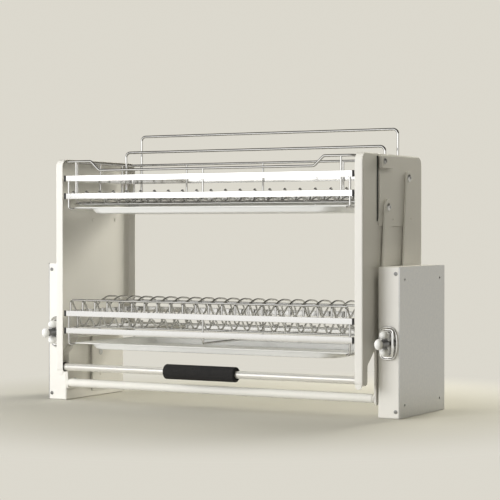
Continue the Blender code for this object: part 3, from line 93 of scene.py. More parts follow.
def lattice(rows, columns, row_loop, column_loop):
    """Quads between neighbours in a grid of points. Its last line joins the first where it loops."""
    here = np.arange(rows * columns).reshape(rows, columns)
    down = np.roll(here, -1, axis=0)
    across = np.roll(here, -1, axis=1)
    both = np.roll(down, -1, axis=1)
    last_row = rows if row_loop else rows - 1
    last_column = columns if column_loop else columns - 1
    cut = (slice(0, last_row), slice(0, last_column))
    quads = np.stack([here[cut], across[cut], both[cut], down[cut]], axis=-1)
    return quads.reshape(-1, 4).tolist()


def ends(rows, columns):
    """Flat faces that close the first and the last ring of a grid."""
    return [list(range(columns))[::-1], list(range((rows - 1) * columns, rows * columns))]


def arcs(corners, radii, steps=6, closed=True):
    """Straight runs joined by arcs.

    Each arc's centre is on the bisector of its corner, at the radius over the cosine of half the turn.
    """
    corners = np.asarray(corners, float)
    radii = np.broadcast_to(np.asarray(radii, float), len(corners))[:, None]
    into = unit(corners - np.roll(corners, 1, axis=0))
    out = unit(np.roll(corners, -1, axis=0) - corners)
    half = np.arccos(np.clip((into * out).sum(axis=1, keepdims=True), -1, 1)) / 2
    inward = unit(out - into)
    onward = unit(out + into)
    centre = corners + inward * radii / np.cos(half)
    angle = np.linspace(-1, 1, steps + 1)[None, :, None] * half[:, None]
    points = (centre[:, None] - np.cos(angle) * (radii * inward)[:, None]
              + np.sin(angle) * (radii * onward)[:, None])
    if closed:
        return points.reshape(-1, corners.shape[1])
    return np.concatenate([corners[:1], points[1:-1].reshape(-1, corners.shape[1]), corners[-1:]])


def turn_frames(path):
    """Two directions square to each tangent, carried along an open path by the smallest turns."""
    tangents = unit(np.gradient(path, axis=0))
    first = X if abs(tangents[0][0]) < ALONG_AXIS else Z
    normal = unit(first - tangents[0] * (first @ tangents[0]))
    normals = [normal]
    for tangent in tangents[1:]:
        normal = unit(normal - tangent * (normal @ tangent))
        normals.append(normal)
    normals = np.array(normals)
    return normals, np.cross(tangents, normals)


def loop_frames(path):
    """Two directions square to each tangent of a closed path. The first is level."""
    tangents = unit(np.roll(path, -1, axis=0) - np.roll(path, 1, axis=0))
    normals = unit(np.cross(Z, tangents))
    return normals, np.cross(tangents, normals)


def swept(path, section, closed=False):
    """A closed section carried along a path.

    Point (i, j) is path point i plus section point j, measured in the two directions square to the path.
    """
    path = np.asarray(path, float)
    normals, others = loop_frames(path) if closed else turn_frames(path)
    ring = section[None, :, :1] * normals[:, None] + section[None, :, 1:] * others[:, None]
    points = (path[:, None] + ring).reshape(-1, 3)
    rows, columns = len(path), len(section)
    faces = lattice(rows, columns, closed, True)
    return points, faces if closed else faces + ends(rows, columns)


def circle(radius, sides=12):
    """Points at equal angles: radius times cosine and sine."""
    turn = np.linspace(0, 2 * np.pi, sides, endpoint=False)
    return radius * np.stack([np.cos(turn), np.sin(turn)], axis=1)


def rectangle(low_u, low_v, high_u, high_v, radius, steps=4):
    """A rectangle between two corners, with round corners."""
    return arcs([(low_u, low_v), (high_u, low_v), (high_u, high_v), (low_u, high_v)], radius, steps)


def oblong(width, height, radius):
    """A rectangle about zero with round corners."""
    return rectangle(-width / 2, -height / 2, width / 2, height / 2, radius, 3)


def wire(path, radius, sides=12, closed=False):
    """A round wire along a path. Its open ends are drawn out a little and end in a smaller ring."""
    path = np.asarray(path, float)
    if closed:
        return swept(path, circle(radius, sides), True)
    points = swept(path, circle(radius, sides))[0]
    rings = points.reshape(len(path), sides, 3)
    ease = radius * (1 - TIP_SHARE)
    first = path[0] + (rings[0] - path[0]) * TIP_SHARE
    last = path[-1] + (rings[-1] - path[-1]) * TIP_SHARE
    rings[0] -= unit(path[0] - path[1]) * ease
    rings[-1] -= unit(path[-1] - path[-2]) * ease
    return stacked([first, *rings, last])


def repeated(surface, offsets):
    """The same surface at several places."""
    points, faces = surface
    return [(points + np.asarray(offset, float), faces) for offset in offsets]


def turned(profile, start, direction, steps=40):
    """A profile of (radius, height) turned about a line.

    Each point is the radius times a turning spoke, plus the height along the line. Flat discs close it.
    """
    profile = np.asarray(profile, float)
    axis, side, other = square_to(direction)
    turn = np.linspace(0, 2 * np.pi, steps, endpoint=False)[None, :, None]
    spoke = np.cos(turn) * side + np.sin(turn) * other
    points = (np.asarray(start, float) + profile[:, 1][:, None, None] * axis
              + profile[:, 0][:, None, None] * spoke)
    rows = len(profile)
    return points.reshape(-1, 3), lattice(rows, steps, False, True) + ends(rows, steps)


def turned_ring(profile, start, direction, steps=40):
    """A closed profile turned about a line, with an open bore."""
    points = turned(profile, start, direction, steps)[0]
    return points, lattice(len(profile), steps, True, True)


def shrunk(outline, inset):
    """A closed outline moved inwards by the inset, along the bisector at each point."""
    before = unit(outline - np.roll(outline, 1, axis=0))
    after = unit(np.roll(outline, -1, axis=0) - outline)
    along = unit(before + after)
    square = np.stack([-along[:, 1], along[:, 0]], axis=1)
    stretch = 1 / np.clip((along * after).sum(axis=1, keepdims=True), 0.5, 1)
    following = np.roll(outline, -1, axis=0)
    area = np.sum(outline[:, 0] * following[:, 1] - outline[:, 1] * following[:, 0])
    return outline + square * stretch * inset * np.sign(area)


def layered(outline, steps, place):
    """An outline carried through (inset, level) steps. place turns (u, v, level) into points in space."""
    rings = []
    for inset, level in steps:
        ring = shrunk(outline, inset) if inset else outline
        rings.append(place(ring[:, 0], ring[:, 1], np.full(len(ring), float(level))))
    return stacked(rings)


def stacked(rings, capped=True):
    """Rings of points joined in their order. The last joins the first, or flat faces close both."""
    count = len(rings[0])
    faces = lattice(len(rings), count, not capped, True)
    return np.concatenate(rings), faces + ends(len(rings), count) if capped else faces


def lying_x(u, v, level):
    """An outline of (back, height) at a place across."""
    return np.stack([level, u, v], axis=1)


def lying_y(u, v, level):
    """An outline of (across, height) at a place back."""
    return np.stack([u, level, v], axis=1)


def round_edges(low, high, radius, steps=3):
    """Insets and levels of a flat plate with quarter round edges, from its low face to its high face."""
    turn = np.linspace(0, np.pi / 2, steps + 1)
    inset = radius * (1 - np.sin(turn))
    rise = radius * (1 - np.cos(turn))
    sign = 1 if high > low else -1
    lower = list(zip(inset, low + sign * rise))
    upper = list(zip(inset[::-1], high - sign * rise[::-1]))
    return lower + upper


def plate_x(outline, low, high, radius):
    """A plate between two places across."""
    return layered(np.asarray(outline, float), round_edges(low, high, radius), lying_x)


def plate_y(outline, low, high, radius):
    """A plate between two places back."""
    return layered(np.asarray(outline, float), round_edges(low, high, radius), lying_y)


def leaning_bar(lower, upper, half, foot):
    """A bar along the line between two pivots, with a half round top and a wide upright foot.

    Its edges lie at half its width from that line. foot is (ahead, behind, drop, rise) from the lower pivot.
    """
    ahead, behind, drop, rise = foot
    lean = (upper[0] - lower[0]) / (upper[1] - lower[1])
    slant = half * math.hypot(1, lean)
    waist = rise + SHOULDER
    heading = math.atan2(upper[1] - lower[1], upper[0] - lower[0])
    turn = heading - np.pi / 2 + np.linspace(0, np.pi, 17)
    top = upper + half * np.stack([np.cos(turn), np.sin(turn)], axis=1)
    corners = [(lower[0] - ahead, lower[1] - drop), (lower[0] + behind, lower[1] - drop),
               (lower[0] + behind, lower[1] + rise), (lower[0] + lean * waist + slant, lower[1] + waist),
               top[0], top[-1],
               (lower[0] + lean * waist - slant, lower[1] + waist), (lower[0] - ahead, lower[1] + rise)]
    steps = 5
    radii = [FOOT_ROUND, FOOT_ROUND, WAIST_ROUND, WAIST_ROUND, SHARP, SHARP, WAIST_ROUND, WAIST_ROUND]
    points = arcs(corners, radii, steps)
    below, above = 4 * (steps + 1), 6 * (steps + 1)
    return np.concatenate([points[:below], top, points[above:]])


def screw_head(centre, direction, radius, height, slot=0.3):
    """A low dome, less a cross. The dome falls with the fourth power of the distance from its middle.

    The cross is where the smaller of two square distances is short, and it fades out towards the rim.
    """
    axis, side, other = square_to(direction)
    share = np.linspace(0.02, 1, 16)[:, None]
    turn = np.linspace(0, 2 * np.pi, 48, endpoint=False)[None, :] + slot
    u, v = share * np.cos(turn - slot), share * np.sin(turn - slot)
    near = np.minimum(np.abs(u), np.abs(v))
    far = np.maximum(np.abs(u), np.abs(v))
    recess = np.clip((CROSS_HALF - near) / CROSS_FADE, 0, 1) * np.clip((CROSS_REACH - far) / CROSS_END, 0, 1)
    rise = height * (1 - 0.75 * share ** 4) - CROSS_DEPTH * height * recess
    spoke = np.cos(turn)[..., None] * side + np.sin(turn)[..., None] * other
    rings = np.asarray(centre, float) + radius * spoke * share[..., None] + rise[..., None] * axis
    rim = rings[-1] - rise[-1][:, None] * axis
    return stacked([*rings, rim])


def socket_head(centre, direction, radius, height, drive, turn_by=0.0):
    """A button head with a six-sided recess. The dome falls with a power of the distance from its middle.

    The recess wall lies at half the drive's width over the cosine of the angle to its nearest side.
    """
    axis, side, other = square_to(direction)
    turn = np.linspace(0, 2 * np.pi, 48, endpoint=False)
    sixth = (turn + turn_by) % (np.pi / 3) - np.pi / 6
    wall = drive / 2 / np.cos(sixth)
    spoke = np.cos(turn)[:, None] * side + np.sin(turn)[:, None] * other
    ledge = [(0.05, 0.25), (wall - 0.15, 0.25), (wall, 0.3), (wall + 0.05, 0.96), (wall + 0.35, 1.0)]
    dome = [(radius * share, 1 - 0.9 * share ** 3.2) for share in (0.62, 0.72, 0.82, 0.9, 0.96, 1.0)]
    rings = []
    for reach, level in ledge + dome + [(radius, 0.0)]:
        reach = np.broadcast_to(reach, turn.shape)[:, None]
        rings.append(np.asarray(centre, float) + reach * spoke + height * level * axis)
    return stacked(rings)


# Materials


class Channel:
    """A number that a node gives. Arithmetic on it adds Math nodes beside it."""

    def __init__(self, graph, socket):
        self.graph = graph
        self.socket = socket

    def maths(self, operation, *values):
        """The result of a Math node on the values."""
        return self.graph.channel("ShaderNodeMath", {"operation": operation}, dict(enumerate(values)))

    def __add__(self, other):
        return self.maths("ADD", self, other)

    __radd__ = __add__

    def __sub__(self, other):
        return self.maths("SUBTRACT", self, other)

    def __rsub__(self, other):
        return self.maths("SUBTRACT", other, self)

    def __mul__(self, other):
        return self.maths("MULTIPLY", self, other)

    __rmul__ = __mul__

    def beyond(self, edge, width):
        """0 at the edge and 1 a width beyond it, with a smooth step between. A negative width runs down."""
        return self.graph.channel("ShaderNodeMapRange", {"interpolation_type": "SMOOTHSTEP"},
                                  {"Value": self, "From Min": edge, "From Max": edge + width})


class Graph:
    """The nodes of a material or of the world."""

    def __init__(self, tree):
        self.tree = tree

    def fill(self, socket, value):
        """Links a socket to a Channel or to another socket, or sets it to a plain value."""
        source = value.socket if isinstance(value, Channel) else value
        if isinstance(source, bpy.types.NodeSocket):
            self.tree.links.new(source, socket)
        else:
            socket.default_value = source

    def add(self, kind, settings, values):
        """A node with its settings made first, then the values or links of its sockets."""
        node = self.tree.nodes.new(kind)
        for key, value in settings.items():
            setattr(node, key, value)
        for key, value in values.items():
            self.fill(node.inputs[key], value)
        return node

    def channel(self, kind, settings, values, output=0):
        """The number that an output of a new node gives."""
        return Channel(self, self.add(kind, settings, values).outputs[output])

    def blend(self, low, high, share):
        """A colour between two colours."""
        return self.add("ShaderNodeMix", {"data_type": "RGBA"}, {0: share, 6: low, 7: high}).outputs[2]

    def ramp(self, share, stops):
        """Colours along a share from 0 to 1. The first and last stop stand at its ends."""
        node = self.add("ShaderNodeValToRGB", {}, {0: share})
        elements = node.color_ramp.elements
        elements[0].color, elements[1].color = stops[0][1], stops[-1][1]
        for place, colour in stops[1:-1]:
            elements.new(place).color = colour
        return node.outputs[0]


class Finish(Graph):
    """A material being built: a Principled shader and the nodes that feed it."""

    def __init__(self, name, metallic=0.0):
        self.material = bpy.data.materials.new(name)
        self.material.use_nodes = True
        super().__init__(self.material.node_tree)
        self.shader = self.tree.nodes["Principled BSDF"]
        self.put("Metallic", metallic)
        self.put("IOR", 1.5)
        self.place = self.add("ShaderNodeTexCoord", {}, {}).outputs["Object"]

    def put(self, name, value):
        """Sets a socket of the shader, or links a node to it."""
        self.fill(self.shader.inputs[name], value)

    def colour(self, low, high, share):
        """Base colour between two colours."""
        self.put("Base Color", self.blend(low, high, share))

    def noise(self, scale, detail=2.0, rough=0.5, stretch=None):
        """Cloudy noise from 0 to 1 with about scale lumps a metre, on stretched object coordinates."""
        where = self.place
        if stretch:
            where = self.add("ShaderNodeMapping", {}, {"Vector": where, "Scale": stretch}).outputs[0]
        return self.channel("ShaderNodeTexNoise", {"noise_dimensions": "3D"},
                            {"Vector": where, "Scale": scale, "Detail": detail, "Roughness": rough}, "Fac")

    def cells(self, scale):
        """Distance from the nearest of many scattered points, as in foam."""
        return self.channel("ShaderNodeTexVoronoi", {"feature": "F1"},
                            {"Vector": self.place, "Scale": scale}, "Distance")

    def relief(self, height, depth, strength):
        """Small relief from a height of 0 to 1, its depth in metres."""
        bump = self.add("ShaderNodeBump", {}, {"Height": height, "Distance": depth, "Strength": strength})
        self.put("Normal", bump.outputs[0])


def tone(colour, level=1.0):
    """A colour times a level, as sockets take it."""
    red, green, blue = colour
    return (red * level, green * level, blue * level, 1.0)


def powder_coat(name, colour):
    """Thick satin paint with the faint lumps of a sprayed powder."""
    finish = Finish(name)
    peel = finish.noise(520, 3.0, 0.55)
    patches = finish.noise(9, 3.0, 0.6)
    finish.colour(tone(colour, 0.975), tone(colour, 1.015), patches)
    finish.put("Roughness", 0.36 + 0.14 * peel + 0.05 * patches)
    finish.put("Coat Weight", 0.12)
    finish.put("Coat Roughness", 0.3)
    finish.relief(peel, 0.00035, 0.35)
    return finish.material


def bright_chrome(name, level=1.0):
    """Polished plate with a faint haze that drifts along the wire. A level above one brightens it with
    painted sheen from the pale surroundings it mirrors.
    """
    finish = Finish(name, metallic=1.0)
    haze = finish.noise(34, 4.0, 0.6)
    fine = finish.noise(900)
    finish.colour(tone((0.57, 0.565, 0.555), level), tone((0.63, 0.63, 0.625), level), haze)
    finish.put("Roughness", 0.05 + 0.05 * haze + 0.02 * fine)
    finish.relief(fine, 0.00002, 0.12)
    return finish.material


def brushed_sheet(name, colour, metallic):
    """Rolled sheet with fine lines along its length."""
    finish = Finish(name, metallic)
    lines = finish.noise(60, 4.0, 0.65, stretch=(0.6, 22.0, 22.0))
    clouds = finish.noise(11, 3.0)
    finish.colour(tone(colour, 0.94), tone(colour, 1.03), 0.6 * lines + 0.4 * clouds)
    finish.put("Roughness", 0.3 + 0.16 * lines)
    finish.relief(lines, 0.00012, 0.25)
    return finish.material


def satin_tube(name, colour):
    """A smooth satin tube, with fine lines drawn along it."""
    finish = Finish(name, metallic=0.55)
    lines = finish.noise(70, 3.0, 0.6, stretch=(0.35, 9.0, 9.0))
    finish.colour(tone(colour, 0.95), tone(colour, 1.02), lines)
    finish.put("Roughness", 0.24 + 0.12 * lines)
    finish.relief(lines, 0.00008, 0.2)
    return finish.material


def foam(name):
    """Closed black foam: small cells, with a dusty bloom on their rims."""
    finish = Finish(name)
    pores = finish.cells(620)
    lumps = finish.noise(190, 4.0, 0.6)
    bloom = pores.beyond(0.35, 0.4)
    finish.colour(tone((0.016, 0.0155, 0.016)), tone((0.036, 0.035, 0.035)), 0.55 * bloom + 0.45 * lumps)
    finish.put("Roughness", 0.8 + 0.15 * lumps)
    finish.put("Specular IOR Level", 0.25)
    finish.relief(pores * 0.6 + lumps * 0.8, 0.0007, 0.8)
    return finish.material


def moulded(name, colour, rough):
    """Moulded rubber or nylon with a fine spark-eroded grain."""
    finish = Finish(name)
    grain = finish.noise(1400)
    clouds = finish.noise(40)
    finish.colour(tone(colour, 0.92), tone(colour, 1.06), clouds)
    finish.put("Roughness", rough + 0.12 * grain)
    finish.relief(grain, 0.00012, 0.4)
    return finish.material


def pearl(name):
    """Glossy white lacquer over a moulded ball, with the lightest ripple."""
    finish = Finish(name)
    ripple = finish.noise(120)
    finish.colour(tone((0.90, 0.90, 0.885)), tone((0.93, 0.93, 0.92)), ripple)
    finish.put("Roughness", 0.2 + 0.08 * ripple)
    finish.put("Coat Weight", 0.6)
    finish.put("Coat Roughness", 0.06)
    finish.relief(ripple, 0.0001, 0.2)
    return finish.material


def zinc_plate(name, level=0.62, rough=0.3):
    """Bright zinc with its soft cloudy grain."""
    finish = Finish(name, metallic=1.0)
    clouds = finish.noise(160, 5.0, 0.65)
    fine = finish.noise(1500)
    finish.colour(tone((0.92, 0.95, 1.0), level * 0.85), tone((1.0, 0.99, 0.96), level * 1.1), clouds)
    finish.put("Roughness", rough + 0.18 * clouds)
    finish.relief(fine, 0.00005, 0.3)
    return finish.material


CREAM = powder_coat("cream_powder_coat", (0.815, 0.80, 0.765))
CREAM_TUBE = powder_coat("cream_tube_coat", (0.82, 0.81, 0.77))
CHROME = bright_chrome("chrome_wire")
# The bands and the escutcheons are the same chrome made brighter: painted sheen standing for the pale card
# and room they mirror
SHEENED_BAND_CHROME = bright_chrome("chrome_band_painted_sheen", 1.38)
SHEENED_KNOB_CHROME = bright_chrome("chrome_knob_painted_sheen", 1.25)
TRAY = brushed_sheet("tray_sheet", (0.84, 0.845, 0.835), 0.25)
SATIN = satin_tube("satin_handle", (0.92, 0.905, 0.87))
FOAM = foam("black_foam")
BLACK = moulded("black_rubber", (0.025, 0.025, 0.026), 0.6)
NYLON = moulded("white_nylon", (0.76, 0.75, 0.70), 0.45)
PEARL = pearl("knob_pearl")
SHIELD = moulded("slot_shield", (0.72, 0.71, 0.68), 0.35)
ZINC = zinc_plate("zinc_plate")
DARK_STEEL = zinc_plate("oiled_steel", 0.26, 0.28)
SCREW = zinc_plate("screw_head", 0.42, 0.25)


# Making pieces


def piece(name, surfaces, material, body, stands_for=(), crease=38):
    """One mesh of several surfaces in millimetres, smooth but for its sharp edges, which rides on a body."""
    points, faces, start = [], [], 0
    for some_points, some_faces in surfaces:
        points.append(some_points)
        faces += [[corner + start for corner in face] for face in some_faces]
        start += len(some_points)
    mesh = bpy.data.meshes.new(name)
    mesh.from_pydata((np.concatenate(points) * MM).tolist(), [], faces)
    mesh.validate()
    shape = bmesh.new()
    shape.from_mesh(mesh)
    bmesh.ops.recalc_face_normals(shape, faces=shape.faces)
    shape.to_mesh(mesh)
    shape.free()
    mesh.shade_smooth()
    mesh.set_sharp_from_angle(angle=math.radians(crease))
    mesh.materials.append(material)
    item = bpy.data.objects.new(name, mesh)
    bpy.context.scene.collection.objects.link(item)
    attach(item, body)
    flat = item.modifiers.new("flat_faces", "WEIGHTED_NORMAL")
    flat.keep_sharp = True
    if stands_for:
        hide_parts(*stands_for)
    return item


def dress(material, *names):
    """Gives a finish to parts of the frame that keep their shape."""
    for name in names:
        mesh = nodes[name].data
        mesh.materials.clear()
        mesh.materials.append(material)
        mesh.polygons.foreach_set("material_index", np.zeros(len(mesh.polygons), np.int32))


def sided(*names):
    """The left and right names of parts that come in pairs."""
    return [name + "_" + tag for name in names for tag in SIDES]


# Side housings

# The pressed oval round the slot as (half width, half height, back), from its rim inwards
OVAL_ROWS = ((21.5, 35.0, -91.4), (21.5, 35.0, -93.0), (21.0, 34.5, -94.3), (20.2, 33.7, -95.0),
             (19.2, 32.7, -95.3), (18.0, 31.5, -95.1), (17.0, 30.6, -94.4), (16.0, 29.8, -93.9),
             (13.6, 28.0, -93.7), (11.8, 26.8, -93.9), (10.6, 26.0, -94.5), (9.6, 25.3, -95.2),
             (8.7, 24.6, -95.5), (7.8, 23.9, -95.3), (7.1, 23.3, -94.6), (6.8, 23.1, -93.4),
             (6.7, 23.0, -91.4))
OVAL_POWER, SLOT_POWER = 2.4, 5.0

# The inner cover, the dark strip painted as the shadow of its joint, and its screws as (back, height), and
# how far the cover stands out
COVER_CORNERS = (10.0, 12.0, 136.5, 300.0)
SHADOW_GAP_CORNERS = (8.6, 12.0, 10.2, 300.0)
COVER_SCREWS = ((20.0, 290.0), (126.5, 290.0), (126.5, 22.0))
COVER_STANDS, SHADOW_GAP_STANDS, COVER_SUNK = 1.2, 0.15, 0.4
FRONT_SCREW_ACROSS = 423.5
FRONT_SCREW_STANDS, FRONT_WASHER_STANDS = 0.6, 0.2
FRONT_SCREWS = (("upper", 292.0), ("lower", 14.0))

# The adjuster's knob from front to back: ball, collar, web and lobes, then the shield in the slot
BALL_RADIUS, BALL_BACK = 11.0, -137.5
BALL_SHAPE = (0.79, 0.74, 1.0)
COLLAR_BACK = -83.8
COLLAR_RADIUS, GROOVE_RADIUS = 8.0, 7.0
GROOVES = np.arange(20.0, 39.0, 3.0)
WEB_HALF_WIDTH, WEB_HALF_HEIGHT = 5.0, 18.0
WEB_BACK, WEB_FRONT = -104.6, -107.6
LOBE_RADIUS, LOBE_DEPTH, LOBE_BACK, LOBE_OFFSET = 8.3, 9.5, -104.4, 17.5
SHIELD_INNER, SHIELD_OUTER, SHIELD_HALF, SHIELD_REACH = 69.2, 70.4, 8.6, 0.62


def escutcheon(tag, side):
    """A pressed oval: a rolled rim, a shallow hollow and a raised lip round the slot.

    Each ring is a superellipse: cosine and sine to two over the power, which grows from oval to slot.
    """
    turn = np.linspace(0, 2 * np.pi, 72, endpoint=False)
    across, up = np.cos(turn), np.sin(turn)
    rings = []
    for index, (half_width, half_height, back) in enumerate(OVAL_ROWS):
        share = min(1.0, index / (len(OVAL_ROWS) - 1) * 1.4)
        power = OVAL_POWER + (SLOT_POWER - OVAL_POWER) * share
        u = half_width * np.sign(across) * np.abs(across) ** (2 / power)
        v = half_height * np.sign(up) * np.abs(up) ** (2 / power)
        rings.append(lying_y(side * HOUSING_MIDDLE + u, ADJUSTER_HEIGHT + v, np.full(len(turn), back)))
    piece("escutcheon_" + tag, [stacked(rings, capped=False)], SHEENED_KNOB_CHROME, "housings",
          ["knob_escutcheon_" + tag], crease=60)


def housing_details(tag, side):
    """The inner cover with a dark strip painted as the shadow of its joint, its screws, and the screws in
    the front with their washers.
    """
    low, high = side * (HOUSING_INNER + COVER_SUNK), side * (HOUSING_INNER - COVER_STANDS)
    cover = plate_x(rectangle(*COVER_CORNERS, 5.0), low, high, 0.6)
    piece("inner_cover_" + tag, [cover], CREAM, "housings")
    # Painted shade: a black strip along the cover's front edge, where the joint between cover and shell
    # would lie in shadow
    shadow_gap = plate_x(rectangle(*SHADOW_GAP_CORNERS, 0.3), low, side * (HOUSING_INNER - SHADOW_GAP_STANDS), 0.1)
    piece("cover_shadow_gap_" + tag, [shadow_gap], BLACK, "housings")
    screws = [screw_head((high, back, height), (-side, 0, 0), 3.2, 1.0, back)
              for back, height in COVER_SCREWS]
    piece("inner_cover_screws_" + tag, screws, SCREW, "housings")
    across = side * FRONT_SCREW_ACROSS
    for level, height in FRONT_SCREWS:
        washer = turned([(0.2, 0.0), (4.0, 0.0), (4.0, 0.35), (3.6, 0.5), (0.2, 0.5)],
                        (across, HOUSING_FRONT - FRONT_WASHER_STANDS, height), (0, -1, 0), 32)
        head = screw_head((across, HOUSING_FRONT - FRONT_SCREW_STANDS, height), (0, -1, 0), 3.3, 0.9,
                          0.4 + height)
        piece("cover_screw_" + level + "_head_" + tag, [washer, head], SCREW, "housings",
              ["cover_screw_" + level + "_" + tag])


def knob(tag, side):
    """An oval ball on a dark grooved neck between two domed lobes, with a curved shield in the slot.

    The ball is a half circle turned about its axis and then squeezed. The lobes are quarter circles turned.
    The shield's rings stand on a circle about the lever's pivot.
    """
    middle, body = side * HOUSING_MIDDLE, "adjuster_" + tag
    forward = (0, -1, 0)
    turn = np.linspace(0.02, math.pi - 0.02, 30)
    centre = np.array([middle, BALL_BACK, ADJUSTER_HEIGHT])
    half_circle = [(BALL_RADIUS * math.sin(value), BALL_RADIUS * math.cos(value)) for value in turn]
    points, faces = turned(half_circle, centre, forward, 48)
    ball = (centre + (points - centre) * BALL_SHAPE, faces)
    piece("adjuster_ball_" + tag, [ball], PEARL, body, ["adjuster_knob_" + tag])
    collar = [(0.2, 0.0), (4.4, 0.0), (4.8, 0.4), (4.8, 18.0), (7.4, 18.0), (COLLAR_RADIUS, 18.5)]
    for level in GROOVES:
        collar += [(COLLAR_RADIUS, level), (GROOVE_RADIUS, level + 0.7), (GROOVE_RADIUS, level + 1.5),
                   (COLLAR_RADIUS, level + 2.2)]
    collar += [(7.6, 41.5), (5.0, 42.5), (4.2, 48.0), (0.2, 48.0)]
    neck = turned(collar[::-1], (middle, COLLAR_BACK, ADJUSTER_HEIGHT), forward, 44)
    web_outline = rectangle(middle - WEB_HALF_WIDTH, ADJUSTER_HEIGHT - WEB_HALF_HEIGHT,
                            middle + WEB_HALF_WIDTH, ADJUSTER_HEIGHT + WEB_HALF_HEIGHT, 4.0)
    web = plate_y(web_outline, WEB_BACK, WEB_FRONT, 0.6)
    piece("adjuster_collar_" + tag, [neck, web], DARK_STEEL, body)
    turn = np.linspace(0.03, math.pi / 2, 14)
    dome = [(LOBE_RADIUS * math.sin(value), LOBE_DEPTH + LOBE_RADIUS * math.cos(value)) for value in turn]
    dome += [(LOBE_RADIUS, 0.8), (7.6, 0.1), (0.2, 0.0)]
    lobes = [turned(dome, (middle, LOBE_BACK, ADJUSTER_HEIGHT + offset), forward, 44)
             for offset in (-LOBE_OFFSET, LOBE_OFFSET)]
    piece("adjuster_lobes_" + tag, lobes, PEARL, body)
    centre = np.array([middle, *ADJUSTER_PIVOT])
    section = ((SHIELD_INNER, -SHIELD_HALF), (SHIELD_OUTER, -SHIELD_HALF), (SHIELD_OUTER, SHIELD_HALF),
               (SHIELD_INNER, SHIELD_HALF))
    rings = []
    for reach in np.linspace(-SHIELD_REACH, SHIELD_REACH, 41):
        out = np.array([0.0, -math.cos(reach), math.sin(reach)])
        rings.append(np.array([centre + out * distance + X * across for distance, across in section]))
    piece("slot_shield_" + tag, [stacked(rings)], SHIELD, body)


# Arms

FRONT_ARM_HALF, REAR_ARM_HALF = 17.0, 14.0
FRONT_FOOT = (27, 25, 14, 99)
REAR_FOOT = (32, 12, 79, 49)
ARM_EDGE = 1.2
ARM_RIVET_DROP = 50
PIVOT_STANDS = 0.3


def arms(tag, side):
    """Flat leaning bars with round edges, the drive shaft's head and neck, and the rear pivot pin."""
    low, high = side * ARM_INNER, side * ARM_OUTER
    bar = plate_x(leaning_bar(FRONT_PIVOT, FRONT_TOP, FRONT_ARM_HALF, FRONT_FOOT), low, high, ARM_EDGE)
    piece("front_arm_bar_" + tag, [bar], CREAM, "front_arms", ["front_arm_" + tag])
    bar = plate_x(leaning_bar(REAR_PIVOT, REAR_TOP, REAR_ARM_HALF, REAR_FOOT), low, high, ARM_EDGE)
    dome = turned([(4.0, 0.0), (4.0, 0.5), (3.5, 1.0), (2.4, 1.3), (0.1, 1.4)],
                  (low + side * 0.1, REAR_PIVOT[0], REAR_PIVOT[1] - ARM_RIVET_DROP), (-side, 0, 0), 28)
    piece("rear_arm_bar_" + tag, [bar, dome], CREAM, "rear_arm_" + tag, ["rear_arm_" + tag])
    stands = side * (ARM_INNER - PIVOT_STANDS)
    head = socket_head((stands, *FRONT_PIVOT), (-side, 0, 0), 9.5, 1.6, 6.0)
    neck = turned([(6.9, 0), (6.9, 30)], (side * (ARM_INNER - 0.2), *FRONT_PIVOT), (side, 0, 0), 28)
    piece("shaft_head_" + tag, [head, neck], ZINC, "front_arms", ["drive_shaft_" + tag])
    pin = turned([(0.2, 0.9), (4.2, 0.9), (6.4, 0.6), (7.3, 0.2), (7.5, 0.0), (5.0, -0.2), (5.0, -9.0),
                  (0.2, -9.0)], (stands, *REAR_PIVOT), (-side, 0, 0), 32)
    piece("rear_pin_" + tag, [pin], ZINC, "housings", ["rear_pivot_pin_" + tag])


def cross_tube():
    """A tube with rolled-in ends on narrower spigots: a profile turned about its own line."""
    left_end = [(7.6, -377.1), (7.6, -373.8), (8.3, -373.6), (8.9, -373.0), (9.2, -371.8)]
    profile = left_end + [(radius, -across) for radius, across in left_end[::-1]]
    piece("cross_bar", [turned(profile, (0, *TUBE_PLACE), (1, 0, 0), 40)], CREAM_TUBE, "front_arms",
          ["cross_tube"])


# Rack frame

RIVETS = ((-4.0, 523.0), (-1.0, 403.0), (89.0, 404.0))
PANEL_BEND, PANEL_SHEET, PANEL_DEPTH = 3.2, 1.2, 18.0
TONGUE_CORNERS = ((357.2, 60.3), (372.2, 60.3), (372.2, 71.0), (357.2, 71.0))
TONGUE_FACES = (-141.4, -139.9)
BLOCK_CORNERS = (-71.0, 506.0, -15.0, 532.0)
BLOCK_OUTER = 384.6
BLOCK_SCREW = (-58.0, 520.5)
# A dark strip along the hanger's front edge: painted shade standing for the shadow in the gap between the
# panel and the hanger plate
SHADOW_STRIP_CORNERS = (-77.5, 398.0, -71.4, 531.0)
SHADOW_STRIP_FACES = (PANEL_OUTER - 0.1, PANEL_OUTER + 0.9)


def panel(tag, side):
    """A pressed pan: its section runs from the web round the bend, along the turned-in edge and back."""
    corners = [(-143, 536), (-143, 67), (-118, 67), (-118, 107), (-80, 140), (149, 140), (149, 536)]
    turn = np.linspace(0, np.pi / 2, 7)
    bend, sheet, depth = PANEL_BEND, PANEL_SHEET, PANEL_DEPTH
    inner = bend - sheet
    section = [(bend * (1 - math.sin(value)), bend * (1 - math.cos(value))) for value in turn]
    section += [(0.0, depth - 0.7), (0.15, depth - 0.2), (0.5, depth), (0.8, depth), (1.1, depth - 0.2),
                (sheet, depth - 0.7)]
    section += [(sheet + inner * (1 - math.sin(value)), sheet + inner * (1 - math.cos(value)))
                for value in turn[::-1]]
    steps = [(inset, side * (PANEL_OUTER - level)) for inset, level in section]
    pan = layered(arcs(corners, [17, 8, 7, 9, 12, 17, 17], 8), steps, lying_x)
    tongue = plate_y(arcs(TONGUE_CORNERS, [6.5, 6.5, 1, 1], 7) * (side, 1), *TONGUE_FACES, 0.5)
    piece("panel_pan_" + tag, [pan, tongue], CREAM, "rack", ["side_panel_" + tag])


